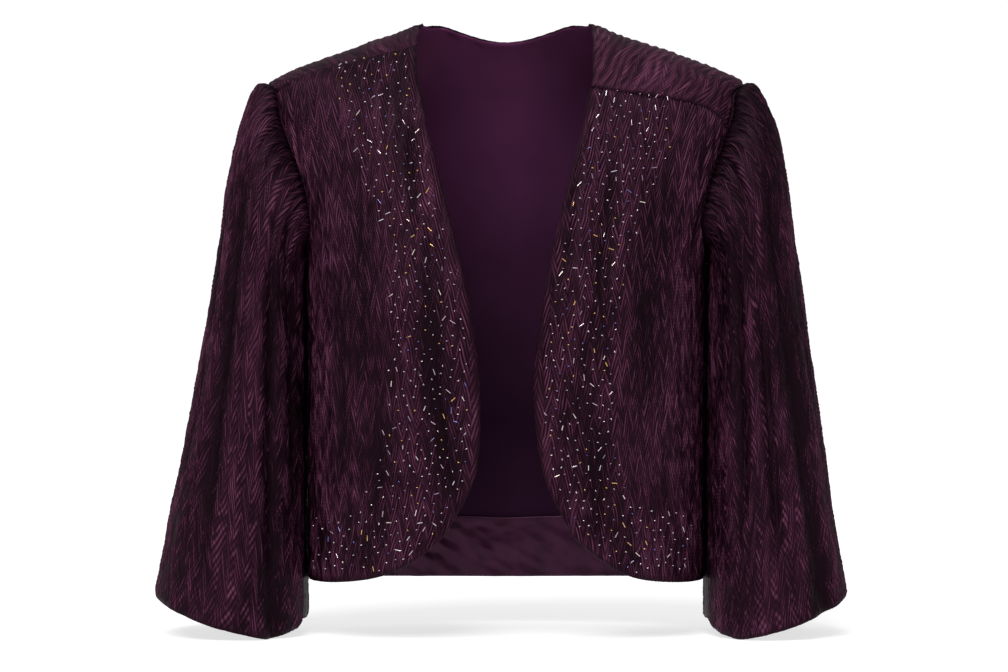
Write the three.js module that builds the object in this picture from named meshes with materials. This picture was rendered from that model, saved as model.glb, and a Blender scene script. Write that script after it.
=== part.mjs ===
import * as THREE from 'three';

// A short open-fronted evening jacket in pleated cloth, filled out as if worn.
// Millimetres, +Z up. It faces -Y, the wearer's left is at +X.
// The origin lies midway between the two points where the shoulder line meets the neck.

// Driving dimensions
const WALL = 1.6;
const SEAM_GAP = 0.3;
const ARMHOLE_GAP = 0.6;
const PLEAT_HEIGHT = 0.7;
const GATHER_HEIGHT = 2.2;
const GATHER_LENGTH = 70;
const GATHER_REACH = 130;
const GATHER_FADE = 25;
const HEAD_SETTLE = 0.05;
const SLEEVE_LENGTH = 437;
const SLEEVE_GIRTH = { head: 400, cuff: 480 };
const NECK_HALF_WIDTH = 72;
const NECK_POINT_Z = 1;
const BACK_NECK_DROP = 13;
const SHOULDER_TIP_Z = -54;
const ARMHOLE_CORNER_Z = -178;
const UNDERARM_Z = -205;
const FRONT_HEM_Z = -484;
const LINING_WALL = 1.2;
const FACING_HEM_EDGE = 3;

// Horizontal sections of the body: half its width, and its depth before and behind the centre plane
const CENTRE_Y = 5;
const SQUARENESS = 2.3;
const BODY_SECTIONS = [
	{ z: - 490, halfWidth: 172, front: 112, back: 104 },
	{ z: - 400, halfWidth: 171.6, front: 113, back: 100 },
	{ z: - 320, halfWidth: 171.6, front: 119, back: 101 },
	{ z: - 260, halfWidth: 172, front: 120, back: 103 },
	{ z: - 205, halfWidth: 174, front: 112, back: 106 },
	{ z: - 155, halfWidth: 184, front: 101, back: 105 },
	{ z: - 133, halfWidth: 190, front: 95, back: 103 },
	{ z: - 104, halfWidth: 199, front: 86, back: 97 },
	{ z: - 80, halfWidth: 208, front: 77, back: 91 },
	{ z: - 62, halfWidth: 209.5, front: 69, back: 85 },
	{ z: - 54, halfWidth: 207, front: 65, back: 81 },
	{ z: - 47, halfWidth: 196, front: 60, back: 77 },
	{ z: - 30, halfWidth: 152.5, front: 47, back: 66 },
	{ z: - 18, halfWidth: 118.5, front: 36, back: 55 },
	{ z: - 10, halfWidth: 96, front: 27, back: 44 },
	{ z: - 5, halfWidth: 86, front: 20, back: 34 },
	{ z: 0, halfWidth: 76, front: 11, back: 15 },
	{ z: 4, halfWidth: 66, front: 3, back: 4 },
];

// Armhole: how far round the body it lies, in degrees from the centre front, on its front and back
const ARMHOLE = [
	{ z: - 54, front: 90, back: 90 },
	{ z: - 58, front: 85, back: 94 },
	{ z: - 63, front: 82, back: 97 },
	{ z: - 80, front: 80.5, back: 100 },
	{ z: - 107, front: 79, back: 103 },
	{ z: - 136, front: 76, back: 105 },
	{ z: - 160, front: 74.5, back: 106 },
	{ z: - 180, front: 75, back: 105 },
	{ z: - 195, front: 79, back: 101 },
	{ z: - 202, front: 84, back: 96 },
	{ z: - 205, front: 90, back: 90 },
];

// Open front edge from the neck to the rounded corner, then the hem to the side
const FRONT_EDGE = {
	right: [
		{ x: 76, z: - 9 }, { x: 77, z: - 28 }, { x: 74, z: - 60 }, { x: 67, z: - 95 }, { x: 51, z: - 160 },
		{ x: 34.5, z: - 227 }, { x: 24, z: - 294 }, { x: 21.8, z: - 340 }, { x: 26, z: - 392 }, { x: 51, z: - 441 },
	],
	left: [
		{ x: 75, z: - 9 }, { x: 75, z: - 28 }, { x: 72.5, z: - 60 }, { x: 65.5, z: - 95 }, { x: 49, z: - 160 },
		{ x: 34.5, z: - 227 }, { x: 24.7, z: - 294 }, { x: 24, z: - 340 }, { x: 32, z: - 392 }, { x: 55, z: - 441 },
	],
};
const FRONT_HEM = {
	right: [{ x: 51, z: - 441 }, { x: 76, z: - 462.5 }, { x: 108, z: - 477.5 }, { x: 145, z: - 483.5 }],
	left: [{ x: 55, z: - 441 }, { x: 80, z: - 462.5 }, { x: 110, z: - 478.5 }, { x: 145, z: - 483.5 }],
};

// Hem of the back, by degrees from the centre front past the wearer's left side
const BACK_HEM = [
	{ angle: 90, z: - 484 }, { angle: 105, z: - 486 }, { angle: 125, z: - 488.3 }, { angle: 150, z: - 489.6 },
	{ angle: 180, z: - 490 },
	{ angle: 210, z: - 489.6 }, { angle: 235, z: - 488.3 }, { angle: 255, z: - 486 }, { angle: 270, z: - 484 },
];

// Seam where the back, brought forward over the shoulder, meets the front
const YOKE_SEAM = {
	right: [{ x: 77, z: - 23 }, { x: 143, z: - 40 }, { x: 185, z: - 54.5 }],
	left: [{ x: 72.8, z: - 61 }, { x: 115, z: - 67.5 }, { x: 166, z: - 76.3 }],
};
const YOKE_ARMHOLE_Z = { right: - 64, left: - 97 };
const YOKE_ROWS = { right: 3, left: 6 };

// Long soft creases of the body panels: where each starts and ends, its depth and half its width
const BODY_CREASES = [
	{ face: 'front', topX: - 92, topZ: - 45, endX: - 80, endZ: - 150, depth: 2.4, width: 9 },
	{ face: 'front', topX: - 70, topZ: - 190, endX: - 52, endZ: - 410, depth: 3, width: 11 },
	{ face: 'front', topX: - 128, topZ: - 120, endX: - 118, endZ: - 330, depth: 2.2, width: 12 },
	{ face: 'front', topX: - 108, topZ: - 300, endX: - 112, endZ: - 470, depth: 2.4, width: 10 },
	{ face: 'front', topX: 96, topZ: - 110, endX: 72, endZ: - 290, depth: 2.6, width: 10 },
	{ face: 'front', topX: 132, topZ: - 130, endX: 112, endZ: - 350, depth: 2.2, width: 12 },
	{ face: 'front', topX: 62, topZ: - 300, endX: 84, endZ: - 455, depth: 2.8, width: 11 },
	{ face: 'back', topX: - 104, topZ: - 120, endX: - 92, endZ: - 400, depth: 3, width: 16 },
	{ face: 'back', topX: 98, topZ: - 110, endX: 104, endZ: - 420, depth: 3.2, width: 17 },
	{ face: 'back', topX: - 34, topZ: - 230, endX: - 40, endZ: - 480, depth: 2.4, width: 18 },
	{ face: 'back', topX: 46, topZ: - 260, endX: 38, endZ: - 480, depth: 2.2, width: 16 },
];

// Sleeve rings from the armhole (part 0) to the cuff (part 1): outer side, side next to the body,
// how far the tube reaches forward and back, and how much it still keeps the armhole's shape
const SLEEVE_RINGS = {
	right: [
		{ part: 0, outerX: 209, outerZ: - 54, innerX: 178, innerZ: - 206, front: 52, back: 60, armhole: 1 },
		{ part: 0.04, outerX: 221.5, outerZ: - 64, innerX: 177.5, innerZ: - 211, front: 55, back: 63, armhole: 0.62 },
		{ part: 0.1, outerX: 228, outerZ: - 82, innerX: 176.6, innerZ: - 222, front: 59, back: 65, armhole: 0.28 },
		{ part: 0.2, outerX: 237, outerZ: - 120, innerX: 175.4, innerZ: - 244, front: 62, back: 67, armhole: 0.06 },
		{ part: 0.35, outerX: 247, outerZ: - 185, innerX: 174.6, innerZ: - 282, front: 64, back: 68, armhole: 0 },
		{ part: 0.55, outerX: 264, outerZ: - 290, innerX: 174.2, innerZ: - 350, front: 68, back: 70, armhole: 0 },
		{ part: 0.78, outerX: 285, outerZ: - 397, innerX: 174.2, innerZ: - 435, front: 75, back: 76, armhole: 0 },
		{ part: 1, outerX: 304, outerZ: - 497, innerX: 174.4, innerZ: - 517, front: 82, back: 82, armhole: 0 },
	],
	left: [
		{ part: 0, outerX: 210, outerZ: - 54, innerX: 178, innerZ: - 206, front: 52, back: 60, armhole: 1 },
		{ part: 0.04, outerX: 224.5, outerZ: - 64, innerX: 177.5, innerZ: - 211, front: 55, back: 63, armhole: 0.62 },
		{ part: 0.1, outerX: 231, outerZ: - 82, innerX: 176.6, innerZ: - 222, front: 59, back: 65, armhole: 0.28 },
		{ part: 0.2, outerX: 240.5, outerZ: - 120, innerX: 175.4, innerZ: - 244, front: 62, back: 67, armhole: 0.06 },
		{ part: 0.35, outerX: 249.5, outerZ: - 185, innerX: 174.6, innerZ: - 282, front: 64, back: 68, armhole: 0 },
		{ part: 0.55, outerX: 264, outerZ: - 290, innerX: 174.2, innerZ: - 350, front: 68, back: 70, armhole: 0 },
		{ part: 0.78, outerX: 279, outerZ: - 397, innerX: 174.2, innerZ: - 435, front: 75, back: 76, armhole: 0 },
		{ part: 1, outerX: 295.5, outerZ: - 497, innerX: 174.2, innerZ: - 517, front: 82, back: 82, armhole: 0 },
	],
};

// The cuff dips below the plane of its ring, by degrees round from the outer side past the front
const CUFF_DIP = [
	{ turn: 0, dip: 0 }, { turn: 27, dip: 3 }, { turn: 49, dip: 7.5 }, { turn: 69, dip: 12 },
	{ turn: 90, dip: 16 }, { turn: 122, dip: 18.5 }, { turn: 155, dip: 8 }, { turn: 180, dip: 0 },
	{ turn: 225, dip: 10 }, { turn: 270, dip: 14 }, { turn: 315, dip: 7 }, { turn: 360, dip: 0 },
];

// Behind the body's widest line the inner side of the sleeve rests closer to the body
const INNER_REST = { turn: 207, halfWidth: 14, depth: 4.2, start: 0.04, full: 0.22 };

// Sleeve folds: degrees round at their top and end, the parts of the length they run, depth, half width
const SLEEVE_FOLDS = {
	right: [
		{ topTurn: 50, endTurn: 68, start: 0.06, end: 0.97, depth: 6, width: 12 },
		{ topTurn: 92, endTurn: 128, start: 0.05, end: 1, depth: 5.5, width: 12 },
		{ topTurn: 26, endTurn: 34, start: 0.2, end: 0.8, depth: 3, width: 8 },
		{ topTurn: 128, endTurn: 152, start: 0.12, end: 0.8, depth: 4, width: 9 },
		{ topTurn: 232, endTurn: 222, start: 0.08, end: 0.9, depth: 5, width: 11 },
		{ topTurn: 275, endTurn: 266, start: 0.06, end: 1, depth: 5.5, width: 13 },
		{ topTurn: 318, endTurn: 306, start: 0.1, end: 0.85, depth: 4, width: 11 },
	],
	left: [
		{ topTurn: 60, endTurn: 52, start: 0.05, end: 1, depth: 6, width: 12 },
		{ topTurn: 108, endTurn: 122, start: 0.04, end: 0.9, depth: 5.5, width: 12 },
		{ topTurn: 30, endTurn: 24, start: 0.25, end: 0.9, depth: 3, width: 8 },
		{ topTurn: 84, endTurn: 88, start: 0.3, end: 0.95, depth: 3.5, width: 9 },
		{ topTurn: 236, endTurn: 228, start: 0.08, end: 0.95, depth: 5, width: 12 },
		{ topTurn: 280, endTurn: 272, start: 0.05, end: 0.9, depth: 5, width: 12 },
		{ topTurn: 322, endTurn: 312, start: 0.12, end: 1, depth: 4.5, width: 11 },
	],
};

// How finely each piece is faceted
const FRONT_COLUMNS = 24;
const FRONT_ARMHOLE_ROWS = 8;
const FRONT_SIDE_ROWS = 9;
const FRONT_EDGE_SHARE = 0.36;
const SHOULDER_COLUMNS = 12;
const NECK_COLUMNS = 20;
const UNDERARM_COLUMNS = 4;
const BACK_SIDE_ROWS = 8;
const BACK_ARMHOLE_ROWS = 8;
const FACING_ROWS = 2;
const FACING_TOP = 0.19;
const SLEEVE_COLUMNS = 56;
const SLEEVE_ROWS = 12;
const RING_CROWDING = 1.35;
const NECK_STATIONS = [ - 1, - 0.8, - 0.6, - 0.4, - 0.2, 0, 0.2, 0.4, 0.6, 0.8, 1 ];
const CURVE_STEPS = 160;

const SIDES = { right: - 1, left: 1 };

const radians = ( degrees ) => degrees * Math.PI / 180;
const smooth = ( t ) => t * t * ( 3 - 2 * t );
const clamp = THREE.MathUtils.clamp;

// A smooth function through a table's rows that never overshoots them
function smoothColumn( rows, key, column ) {

	const xs = rows.map( ( row ) => row[ key ] );
	const ys = rows.map( ( row ) => row[ column ] );
	const rising = xs[ xs.length - 1 ] > xs[ 0 ];
	if ( ! rising ) {

		xs.reverse();
		ys.reverse();

	}

	const slopes = xs.slice( 1 ).map( ( x, i ) => ( ys[ i + 1 ] - ys[ i ] ) / ( x - xs[ i ] ) );
	const tangents = xs.map( ( x, i ) => {

		if ( i === 0 ) return slopes[ 0 ];
		if ( i === xs.length - 1 ) return slopes[ i - 1 ];
		const before = slopes[ i - 1 ];
		const after = slopes[ i ];
		return before * after <= 0 ? 0 : 2 * before * after / ( before + after );

	} );

	return ( x ) => {

		if ( x <= xs[ 0 ] ) return ys[ 0 ] + tangents[ 0 ] * ( x - xs[ 0 ] );
		let i = 0;
		while ( i < xs.length - 2 && x > xs[ i + 1 ] ) i ++;
		const width = xs[ i + 1 ] - xs[ i ];
		const t = ( x - xs[ i ] ) / width;
		if ( t > 1 ) return ys[ i + 1 ] + tangents[ i + 1 ] * ( x - xs[ i + 1 ] );
		const left = 1 - t;
		const values = ( 1 + 2 * t ) * left * left * ys[ i ] + t * t * ( 3 - 2 * t ) * ys[ i + 1 ];
		const bends = t * left * left * width * tangents[ i ] - t * t * left * width * tangents[ i + 1 ];
		return values + bends;

	};

}

// Body surface

const halfWidthAt = smoothColumn( BODY_SECTIONS, 'z', 'halfWidth' );
const frontDepthAt = smoothColumn( BODY_SECTIONS, 'z', 'front' );
const backDepthAt = smoothColumn( BODY_SECTIONS, 'z', 'back' );

// Below 1 inside the body, 1 on its surface
function bodyValue( x, y, z ) {

	const depth = Math.max( 0.5, y < CENTRE_Y ? frontDepthAt( z ) : backDepthAt( z ) );
	const across = Math.abs( x ) / Math.max( 1, halfWidthAt( z ) );
	const along = Math.abs( y - CENTRE_Y ) / depth;
	return across ** SQUARENESS + along ** SQUARENESS;

}

// Point of the surface at an angle from the centre front, 90 at the wearer's left side
function bodyPoint( angle, z ) {

	const dx = Math.sin( radians( angle ) );
	const dy = - Math.cos( radians( angle ) );
	const reach = bodyValue( dx, CENTRE_Y + dy, z ) ** ( - 1 / SQUARENESS );
	return new THREE.Vector3( dx * reach, CENTRE_Y + dy * reach, z );

}

// Angle of the surface's point at a distance x from the centre, on the front or the back
function angleAt( x, z, face ) {

	const share = clamp( Math.abs( x ) / halfWidthAt( z ), 0, 1 );
	const depth = face === 'front' ? frontDepthAt( z ) : backDepthAt( z );
	const dy = depth * ( 1 - share ** SQUARENESS ) ** ( 1 / SQUARENESS );
	const angle = Math.atan2( Math.abs( x ), dy ) * 180 / Math.PI;
	return face === 'front' ? angle : 180 - angle;

}

// Brings a point near the surface onto it, along the line from the body's core
const CORE_TOP_Z = - 100;

function ontoBody( point ) {

	const core = new THREE.Vector3( 0, CENTRE_Y, Math.min( point.z, CORE_TOP_Z ) );
	const ray = point.clone().sub( core );
	let low = 0.5;
	let high = 2;
	for ( let step = 0; step < 40; step ++ ) {

		const middle = ( low + high ) / 2;
		const value = bodyValue( ray.x * middle, CENTRE_Y + ray.y * middle, core.z + ray.z * middle );
		if ( value < 1 ) low = middle;
		else high = middle;

	}

	return core.addScaledVector( ray, low );

}

function bodyNormal( point ) {

	const reach = 0.5;
	const { x, y, z } = point;
	return new THREE.Vector3(
		bodyValue( x + reach, y, z ) - bodyValue( x - reach, y, z ),
		bodyValue( x, y + reach, z ) - bodyValue( x, y - reach, z ),
		bodyValue( x, y, z + reach ) - bodyValue( x, y, z - reach ),
	).normalize();

}

// Depth of the body's creases at a point, negative inwards
function creaseDepth( point ) {

	const face = point.y < CENTRE_Y ? 'front' : 'back';
	let depth = 0;
	for ( const crease of BODY_CREASES ) {

		const t = ( crease.topZ - point.z ) / ( crease.topZ - crease.endZ );
		if ( crease.face !== face || t <= 0 || t >= 1 ) continue;
		const offset = ( point.x - THREE.MathUtils.lerp( crease.topX, crease.endX, t ) ) / crease.width;
		depth -= crease.depth * Math.exp( - offset * offset ) * Math.sin( Math.PI * t ) ** 0.7;

	}

	return depth;

}

// Curves drawn on the body, given as angles and heights

function curveOnBody( points ) {

	const line = new THREE.CatmullRomCurve3(
		points.map( ( { angle, z } ) => new THREE.Vector3( angle, z, 0 ) ), false, 'centripetal' );
	return line.getPoints( CURVE_STEPS ).map( ( { x, y } ) => bodyPoint( x, y ) );

}

// Points at given shares of a polyline's length
function resample( polyline, shares ) {

	const reached = [ 0 ];
	for ( let i = 1; i < polyline.length; i ++ ) {

		reached.push( reached[ i - 1 ] + polyline[ i ].distanceTo( polyline[ i - 1 ] ) );

	}

	const length = reached[ reached.length - 1 ];
	return shares.map( ( share ) => {

		const target = clamp( share, 0, 1 ) * length;
		let i = 1;
		while ( i < polyline.length - 1 && reached[ i ] < target ) i ++;
		const t = ( target - reached[ i - 1 ] ) / ( reached[ i ] - reached[ i - 1 ] );
		return polyline[ i - 1 ].clone().lerp( polyline[ i ], t );

	} );

}

const evenShares = ( count ) => Array.from( { length: count + 1 }, ( _, i ) => i / count );

// Angle on the wearer's left for a positive side, mirrored to the right for a negative one
const onSide = ( side, angle ) => SIDES[ side ] > 0 ? angle : 360 - angle;

// One half of an armhole between two heights, from the top down
function armholeCurve( side, half, topZ, endZ ) {

	const angleOf = smoothColumn( ARMHOLE, 'z', half );
	const rows = ARMHOLE.filter( ( { z } ) => z < topZ - 1 && z > endZ + 1 ).map( ( { z } ) => z );
	const heights = [ topZ, ...rows, endZ ];
	return curveOnBody( heights.map( ( z ) => ( { angle: onSide( side, angleOf( z ) ), z } ) ) );

}

// Points of the armhole seam that the body's panels and the sleeve share, each half from the tip down
function armholePoints( side ) {

	const stretch = ( half, topZ, endZ, count ) =>
		resample( armholeCurve( side, half, topZ, endZ ), evenShares( count ) );
	const yokeZ = YOKE_ARMHOLE_Z[ side ];
	return {
		front: [
			...stretch( 'front', SHOULDER_TIP_Z, yokeZ, YOKE_ROWS[ side ] ),
			...stretch( 'front', yokeZ, ARMHOLE_CORNER_Z, FRONT_ARMHOLE_ROWS ).slice( 1 ),
			...stretch( 'front', ARMHOLE_CORNER_Z, UNDERARM_Z, UNDERARM_COLUMNS ).slice( 1 ),
		],
		back: [
			...stretch( 'back', SHOULDER_TIP_Z, ARMHOLE_CORNER_Z, BACK_ARMHOLE_ROWS ),
			...stretch( 'back', ARMHOLE_CORNER_Z, UNDERARM_Z, UNDERARM_COLUMNS ).slice( 1 ),
		],
	};

}

// Rows of a table of places on the front, as angles and heights
function anglesOf( side, rows ) {

	return rows.map( ( { x, z } ) => ( { angle: onSide( side, angleAt( x, z, 'front' ) ), z } ) );

}

// Open front edge between the neck point and the corner of the front, from the top down
function frontEdgeCurve( side ) {

	const neckPoint = { angle: onSide( side, 90 ), z: NECK_POINT_Z };
	return curveOnBody( [ neckPoint, ...anglesOf( side, FRONT_EDGE[ side ] ) ] );

}

function yokeSeamCurve( side ) {

	const z = YOKE_ARMHOLE_Z[ side ];
	const angle = smoothColumn( ARMHOLE, 'z', 'front' )( z );
	return curveOnBody( [ ...anglesOf( side, YOKE_SEAM[ side ] ), { angle: onSide( side, angle ), z } ] );

}

// Cuts a polyline at the point nearest to a place, and returns both parts
function splitAt( polyline, place ) {

	let nearest = 0;
	polyline.forEach( ( point, i ) => {

		if ( point.distanceTo( place ) < polyline[ nearest ].distanceTo( place ) ) nearest = i;

	} );
	return [
		[ ...polyline.slice( 0, nearest ), place ],
		[ place, ...polyline.slice( nearest + 1 ) ],
	];

}

// Surface patch between four curves, as rows of points, laid onto the body
function bodyPatch( bottom, top, start, end ) {

	const columns = bottom.length - 1;
	const rows = start.length - 1;
	const patch = [];
	for ( let j = 0; j <= rows; j ++ ) {

		const v = j / rows;
		const row = [];
		for ( let i = 0; i <= columns; i ++ ) {

			const u = i / columns;
			const point = new THREE.Vector3()
				.addScaledVector( bottom[ i ], 1 - v )
				.addScaledVector( top[ i ], v )
				.addScaledVector( start[ j ], 1 - u )
				.addScaledVector( end[ j ], u )
				.addScaledVector( bottom[ 0 ], - ( 1 - u ) * ( 1 - v ) )
				.addScaledVector( bottom[ columns ], - u * ( 1 - v ) )
				.addScaledVector( top[ 0 ], - ( 1 - u ) * v )
				.addScaledVector( top[ columns ], - u * v );
			const edge = i === 0 || i === columns || j === 0 || j === rows;
			row.push( edge ? point : ontoBody( point ) );

		}

		patch.push( row );

	}

	return patch;

}

// Solids from grids of points

// Gathers vertices and triangles, and turns the whole solid outwards at the end
class Solid {

	constructor() {

		this.points = [];
		this.triangles = [];

	}

	add( point ) {

		this.points.push( point );
		return this.points.length - 1;

	}

	quad( a, b, c, d ) {

		this.triangles.push( [ a, b, c ], [ a, c, d ] );

	}

	geometry() {

		let volume = 0;
		for ( const [ a, b, c ] of this.triangles ) {

			volume += this.points[ a ].dot( this.points[ b ].clone().cross( this.points[ c ] ) );

		}

		const order = volume > 0 ? this.triangles : this.triangles.map( ( [ a, b, c ] ) => [ a, c, b ] );
		const geometry = new THREE.BufferGeometry();
		const coordinates = this.points.flatMap( ( point ) => point.toArray() );
		geometry.setAttribute( 'position', new THREE.Float32BufferAttribute( coordinates, 3 ) );
		geometry.setIndex( order.flat() );
		geometry.computeVertexNormals();
		return geometry;

	}

}

// A cloth wall. outer and inner are rows of points, null where there is no cloth.
// The inner face takes every innerStep-th column of the outer one.
function clothWall( outer, inner, innerStep ) {

	const solid = new Solid();
	const outerIndex = outer.map( ( row ) => row.map( ( point ) => point && solid.add( point ) ) );
	const innerIndex = inner.map( ( row ) => row.map( ( point, i ) =>
		( point && i % innerStep === 0 ? solid.add( point ) : null ) ) );
	const isThere = ( i, j ) => Boolean( outer[ j ] && outer[ j ][ i ] );
	const hasSide = ( i, j ) => isThere( i, j ) && isThere( i, j + 1 );
	const hasCell = ( i, j ) => hasSide( i, j ) && hasSide( i + 1, j );

	for ( let j = 0; j < outer.length - 1; j ++ ) {

		for ( let i = 0; i < outer[ 0 ].length - 1; i ++ ) {

			if ( ! hasCell( i, j ) ) continue;
			const outerRow = outerIndex[ j ];
			const outerNext = outerIndex[ j + 1 ];
			const innerRow = innerIndex[ j ];
			const innerNext = innerIndex[ j + 1 ];
			const k = i + 1;
			solid.quad( outerRow[ i ], outerRow[ k ], outerNext[ k ], outerNext[ i ] );
			if ( ! hasCell( i - 1, j ) ) solid.quad( outerRow[ i ], outerNext[ i ], innerNext[ i ], innerRow[ i ] );
			if ( ! hasCell( k, j ) ) solid.quad( outerNext[ k ], outerRow[ k ], innerRow[ k ], innerNext[ k ] );

			if ( i % innerStep !== 0 ) continue;
			const next = i + innerStep;
			solid.quad( innerRow[ i ], innerNext[ i ], innerNext[ next ], innerRow[ next ] );
			for ( const [ row, beyond ] of [ [ j, j - 1 ], [ j + 1, j + 1 ] ] ) {

				if ( hasCell( i, beyond ) ) continue;
				const chain = outerIndex[ row ].slice( i, next + 1 );
				const rim = chain.slice( 1 ).map( ( index, n ) => [ index, chain[ n ], innerIndex[ row ][ i ] ] );
				rim.push( [ chain[ innerStep ], innerIndex[ row ][ i ], innerIndex[ row ][ next ] ] );
				solid.triangles.push( ...( beyond < j ? rim : rim.map( ( [ a, b, c ] ) => [ a, c, b ] ) ) );

			}

		}

	}

	return solid.geometry();

}

// Outer and inner points of a body panel: pleats rise on every other column of its outer face
function panelFaces( grid ) {

	const outer = grid.map( ( row ) => row.map( ( point, i ) => {

		if ( ! point ) return null;
		const pleat = i % 2 === 1 ? PLEAT_HEIGHT : 0;
		return point.clone().addScaledVector( bodyNormal( point ), creaseDepth( point ) + pleat );

	} ) );
	const inner = grid.map( ( row ) => row.map( ( point ) => {

		if ( ! point ) return null;
		return point.clone().addScaledVector( bodyNormal( point ), creaseDepth( point ) - WALL );

	} ) );
	return { outer, inner };

}

// Fronts

// Moves a seam's points half the seam gap down or up the body
function offSeam( points, distance ) {

	return points.map( ( point ) => {

		const along = new THREE.Vector3( 0, 0, 1 );
		const normal = bodyNormal( point );
		along.addScaledVector( normal, - along.dot( normal ) ).normalize();
		return point.clone().addScaledVector( along, distance );

	} );

}

function sideSeam( side, face, topZ, endZ, rows ) {

	const y = CENTRE_Y + ( face === 'front' ? - 1 : 1 ) * SEAM_GAP / 2;
	return evenShares( rows ).map( ( share ) => {

		const z = THREE.MathUtils.lerp( topZ, endZ, share );
		return new THREE.Vector3( SIDES[ side ] * halfWidthAt( z ), y, z );

	} );

}

// Column of the body's cloth from the armhole's corner down to the hem
function underarmColumn( side, face, hemZ, rows ) {

	const angle = onSide( side, smoothColumn( ARMHOLE, 'z', face )( ARMHOLE_CORNER_Z ) );
	return evenShares( rows ).map( ( share ) =>
		bodyPoint( angle, THREE.MathUtils.lerp( ARMHOLE_CORNER_Z, hemZ, share ) ) );

}

function frontPanel( side ) {

	const yokeSeam = yokeSeamCurve( side );
	const openEdge = splitAt( frontEdgeCurve( side ), yokeSeam[ 0 ] )[ 1 ];
	const sidePoint = { angle: onSide( side, 90 ), z: FRONT_HEM_Z };
	const hem = curveOnBody( [ ...anglesOf( side, FRONT_HEM[ side ] ), sidePoint ] );
	const column = underarmColumn( side, 'front', FRONT_HEM_Z, FRONT_SIDE_ROWS );
	const [ hemInFront, hemAtSide ] = splitAt( hem, column[ FRONT_SIDE_ROWS ] );

	const armholeShares = evenShares( FRONT_ARMHOLE_ROWS ).map( ( share ) => share * FRONT_EDGE_SHARE );
	const sideShares = evenShares( FRONT_SIDE_ROWS ).map( ( share ) =>
		THREE.MathUtils.lerp( FRONT_EDGE_SHARE, 1, share ) );
	const start = resample( openEdge, [ ...armholeShares, ...sideShares.slice( 1 ) ] );
	const armhole = armholePoints( side ).front;
	const end = [ ...armhole.slice( YOKE_ROWS[ side ], - UNDERARM_COLUMNS ), ...column.slice( 1 ) ];
	const seam = resample( resample( yokeSeam, evenShares( SHOULDER_COLUMNS ) ), evenShares( FRONT_COLUMNS ) );
	const top = offSeam( seam, - SEAM_GAP / 2 );
	start[ 0 ] = top[ 0 ];
	end[ 0 ] = top[ FRONT_COLUMNS ];
	const bottom = resample( hemInFront, evenShares( FRONT_COLUMNS ) );
	const main = bodyPatch( top, bottom, start, end );

	const underarm = armhole.slice( - UNDERARM_COLUMNS - 1 );
	const seamSide = sideSeam( side, 'front', UNDERARM_Z, FRONT_HEM_Z, FRONT_SIDE_ROWS );
	underarm[ UNDERARM_COLUMNS ] = seamSide[ 0 ];
	const sideHem = resample( hemAtSide, evenShares( UNDERARM_COLUMNS ) );
	sideHem[ UNDERARM_COLUMNS ] = seamSide[ FRONT_SIDE_ROWS ];
	const below = bodyPatch( underarm, sideHem, column, seamSide );

	const missing = Array( UNDERARM_COLUMNS ).fill( null );
	const grid = main.map( ( row, j ) => {

		const block = below[ j - FRONT_ARMHOLE_ROWS ];
		return [ ...row, ...( block ? block.slice( 1 ) : missing ) ];

	} );
	const { outer, inner } = panelFaces( grid );
	return clothWall( outer, inner, 2 );

}

// Back, cut in one with the strips that come forward over the shoulders

const BACK_COLUMNS = 2 * ( UNDERARM_COLUMNS + SHOULDER_COLUMNS ) + NECK_COLUMNS;
const BACK_ROWS = BACK_SIDE_ROWS + BACK_ARMHOLE_ROWS;

// Back neckline from the wearer's left neck point to the right one
function backNeckCurve() {

	const rows = NECK_STATIONS.map( ( station ) => {

		const z = - BACK_NECK_DROP / 2 * ( 1 + Math.cos( Math.PI * station ) );
		const angle = angleAt( station * NECK_HALF_WIDTH, z, 'back' );
		return { angle: station < 0 ? angle : 360 - angle, z };

	} );
	return curveOnBody( [ { angle: 90, z: NECK_POINT_Z }, ...rows, { angle: 270, z: NECK_POINT_Z } ] );

}

const shoulderRidge = ( side ) => evenShares( CURVE_STEPS ).map( ( share ) =>
	bodyPoint( onSide( side, 90 ), THREE.MathUtils.lerp( SHOULDER_TIP_Z, NECK_POINT_Z, share ) ) );

// Shares of the height below the armhole, with a row at the top of the hem facing
function belowArmholeShares() {

	const facing = evenShares( FACING_ROWS ).map( ( share ) => share * FACING_TOP );
	const above = evenShares( BACK_SIDE_ROWS - FACING_ROWS ).map( ( share ) =>
		THREE.MathUtils.lerp( FACING_TOP, 1, share ) );
	return [ ...facing, ...above.slice( 1 ) ];

}

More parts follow.
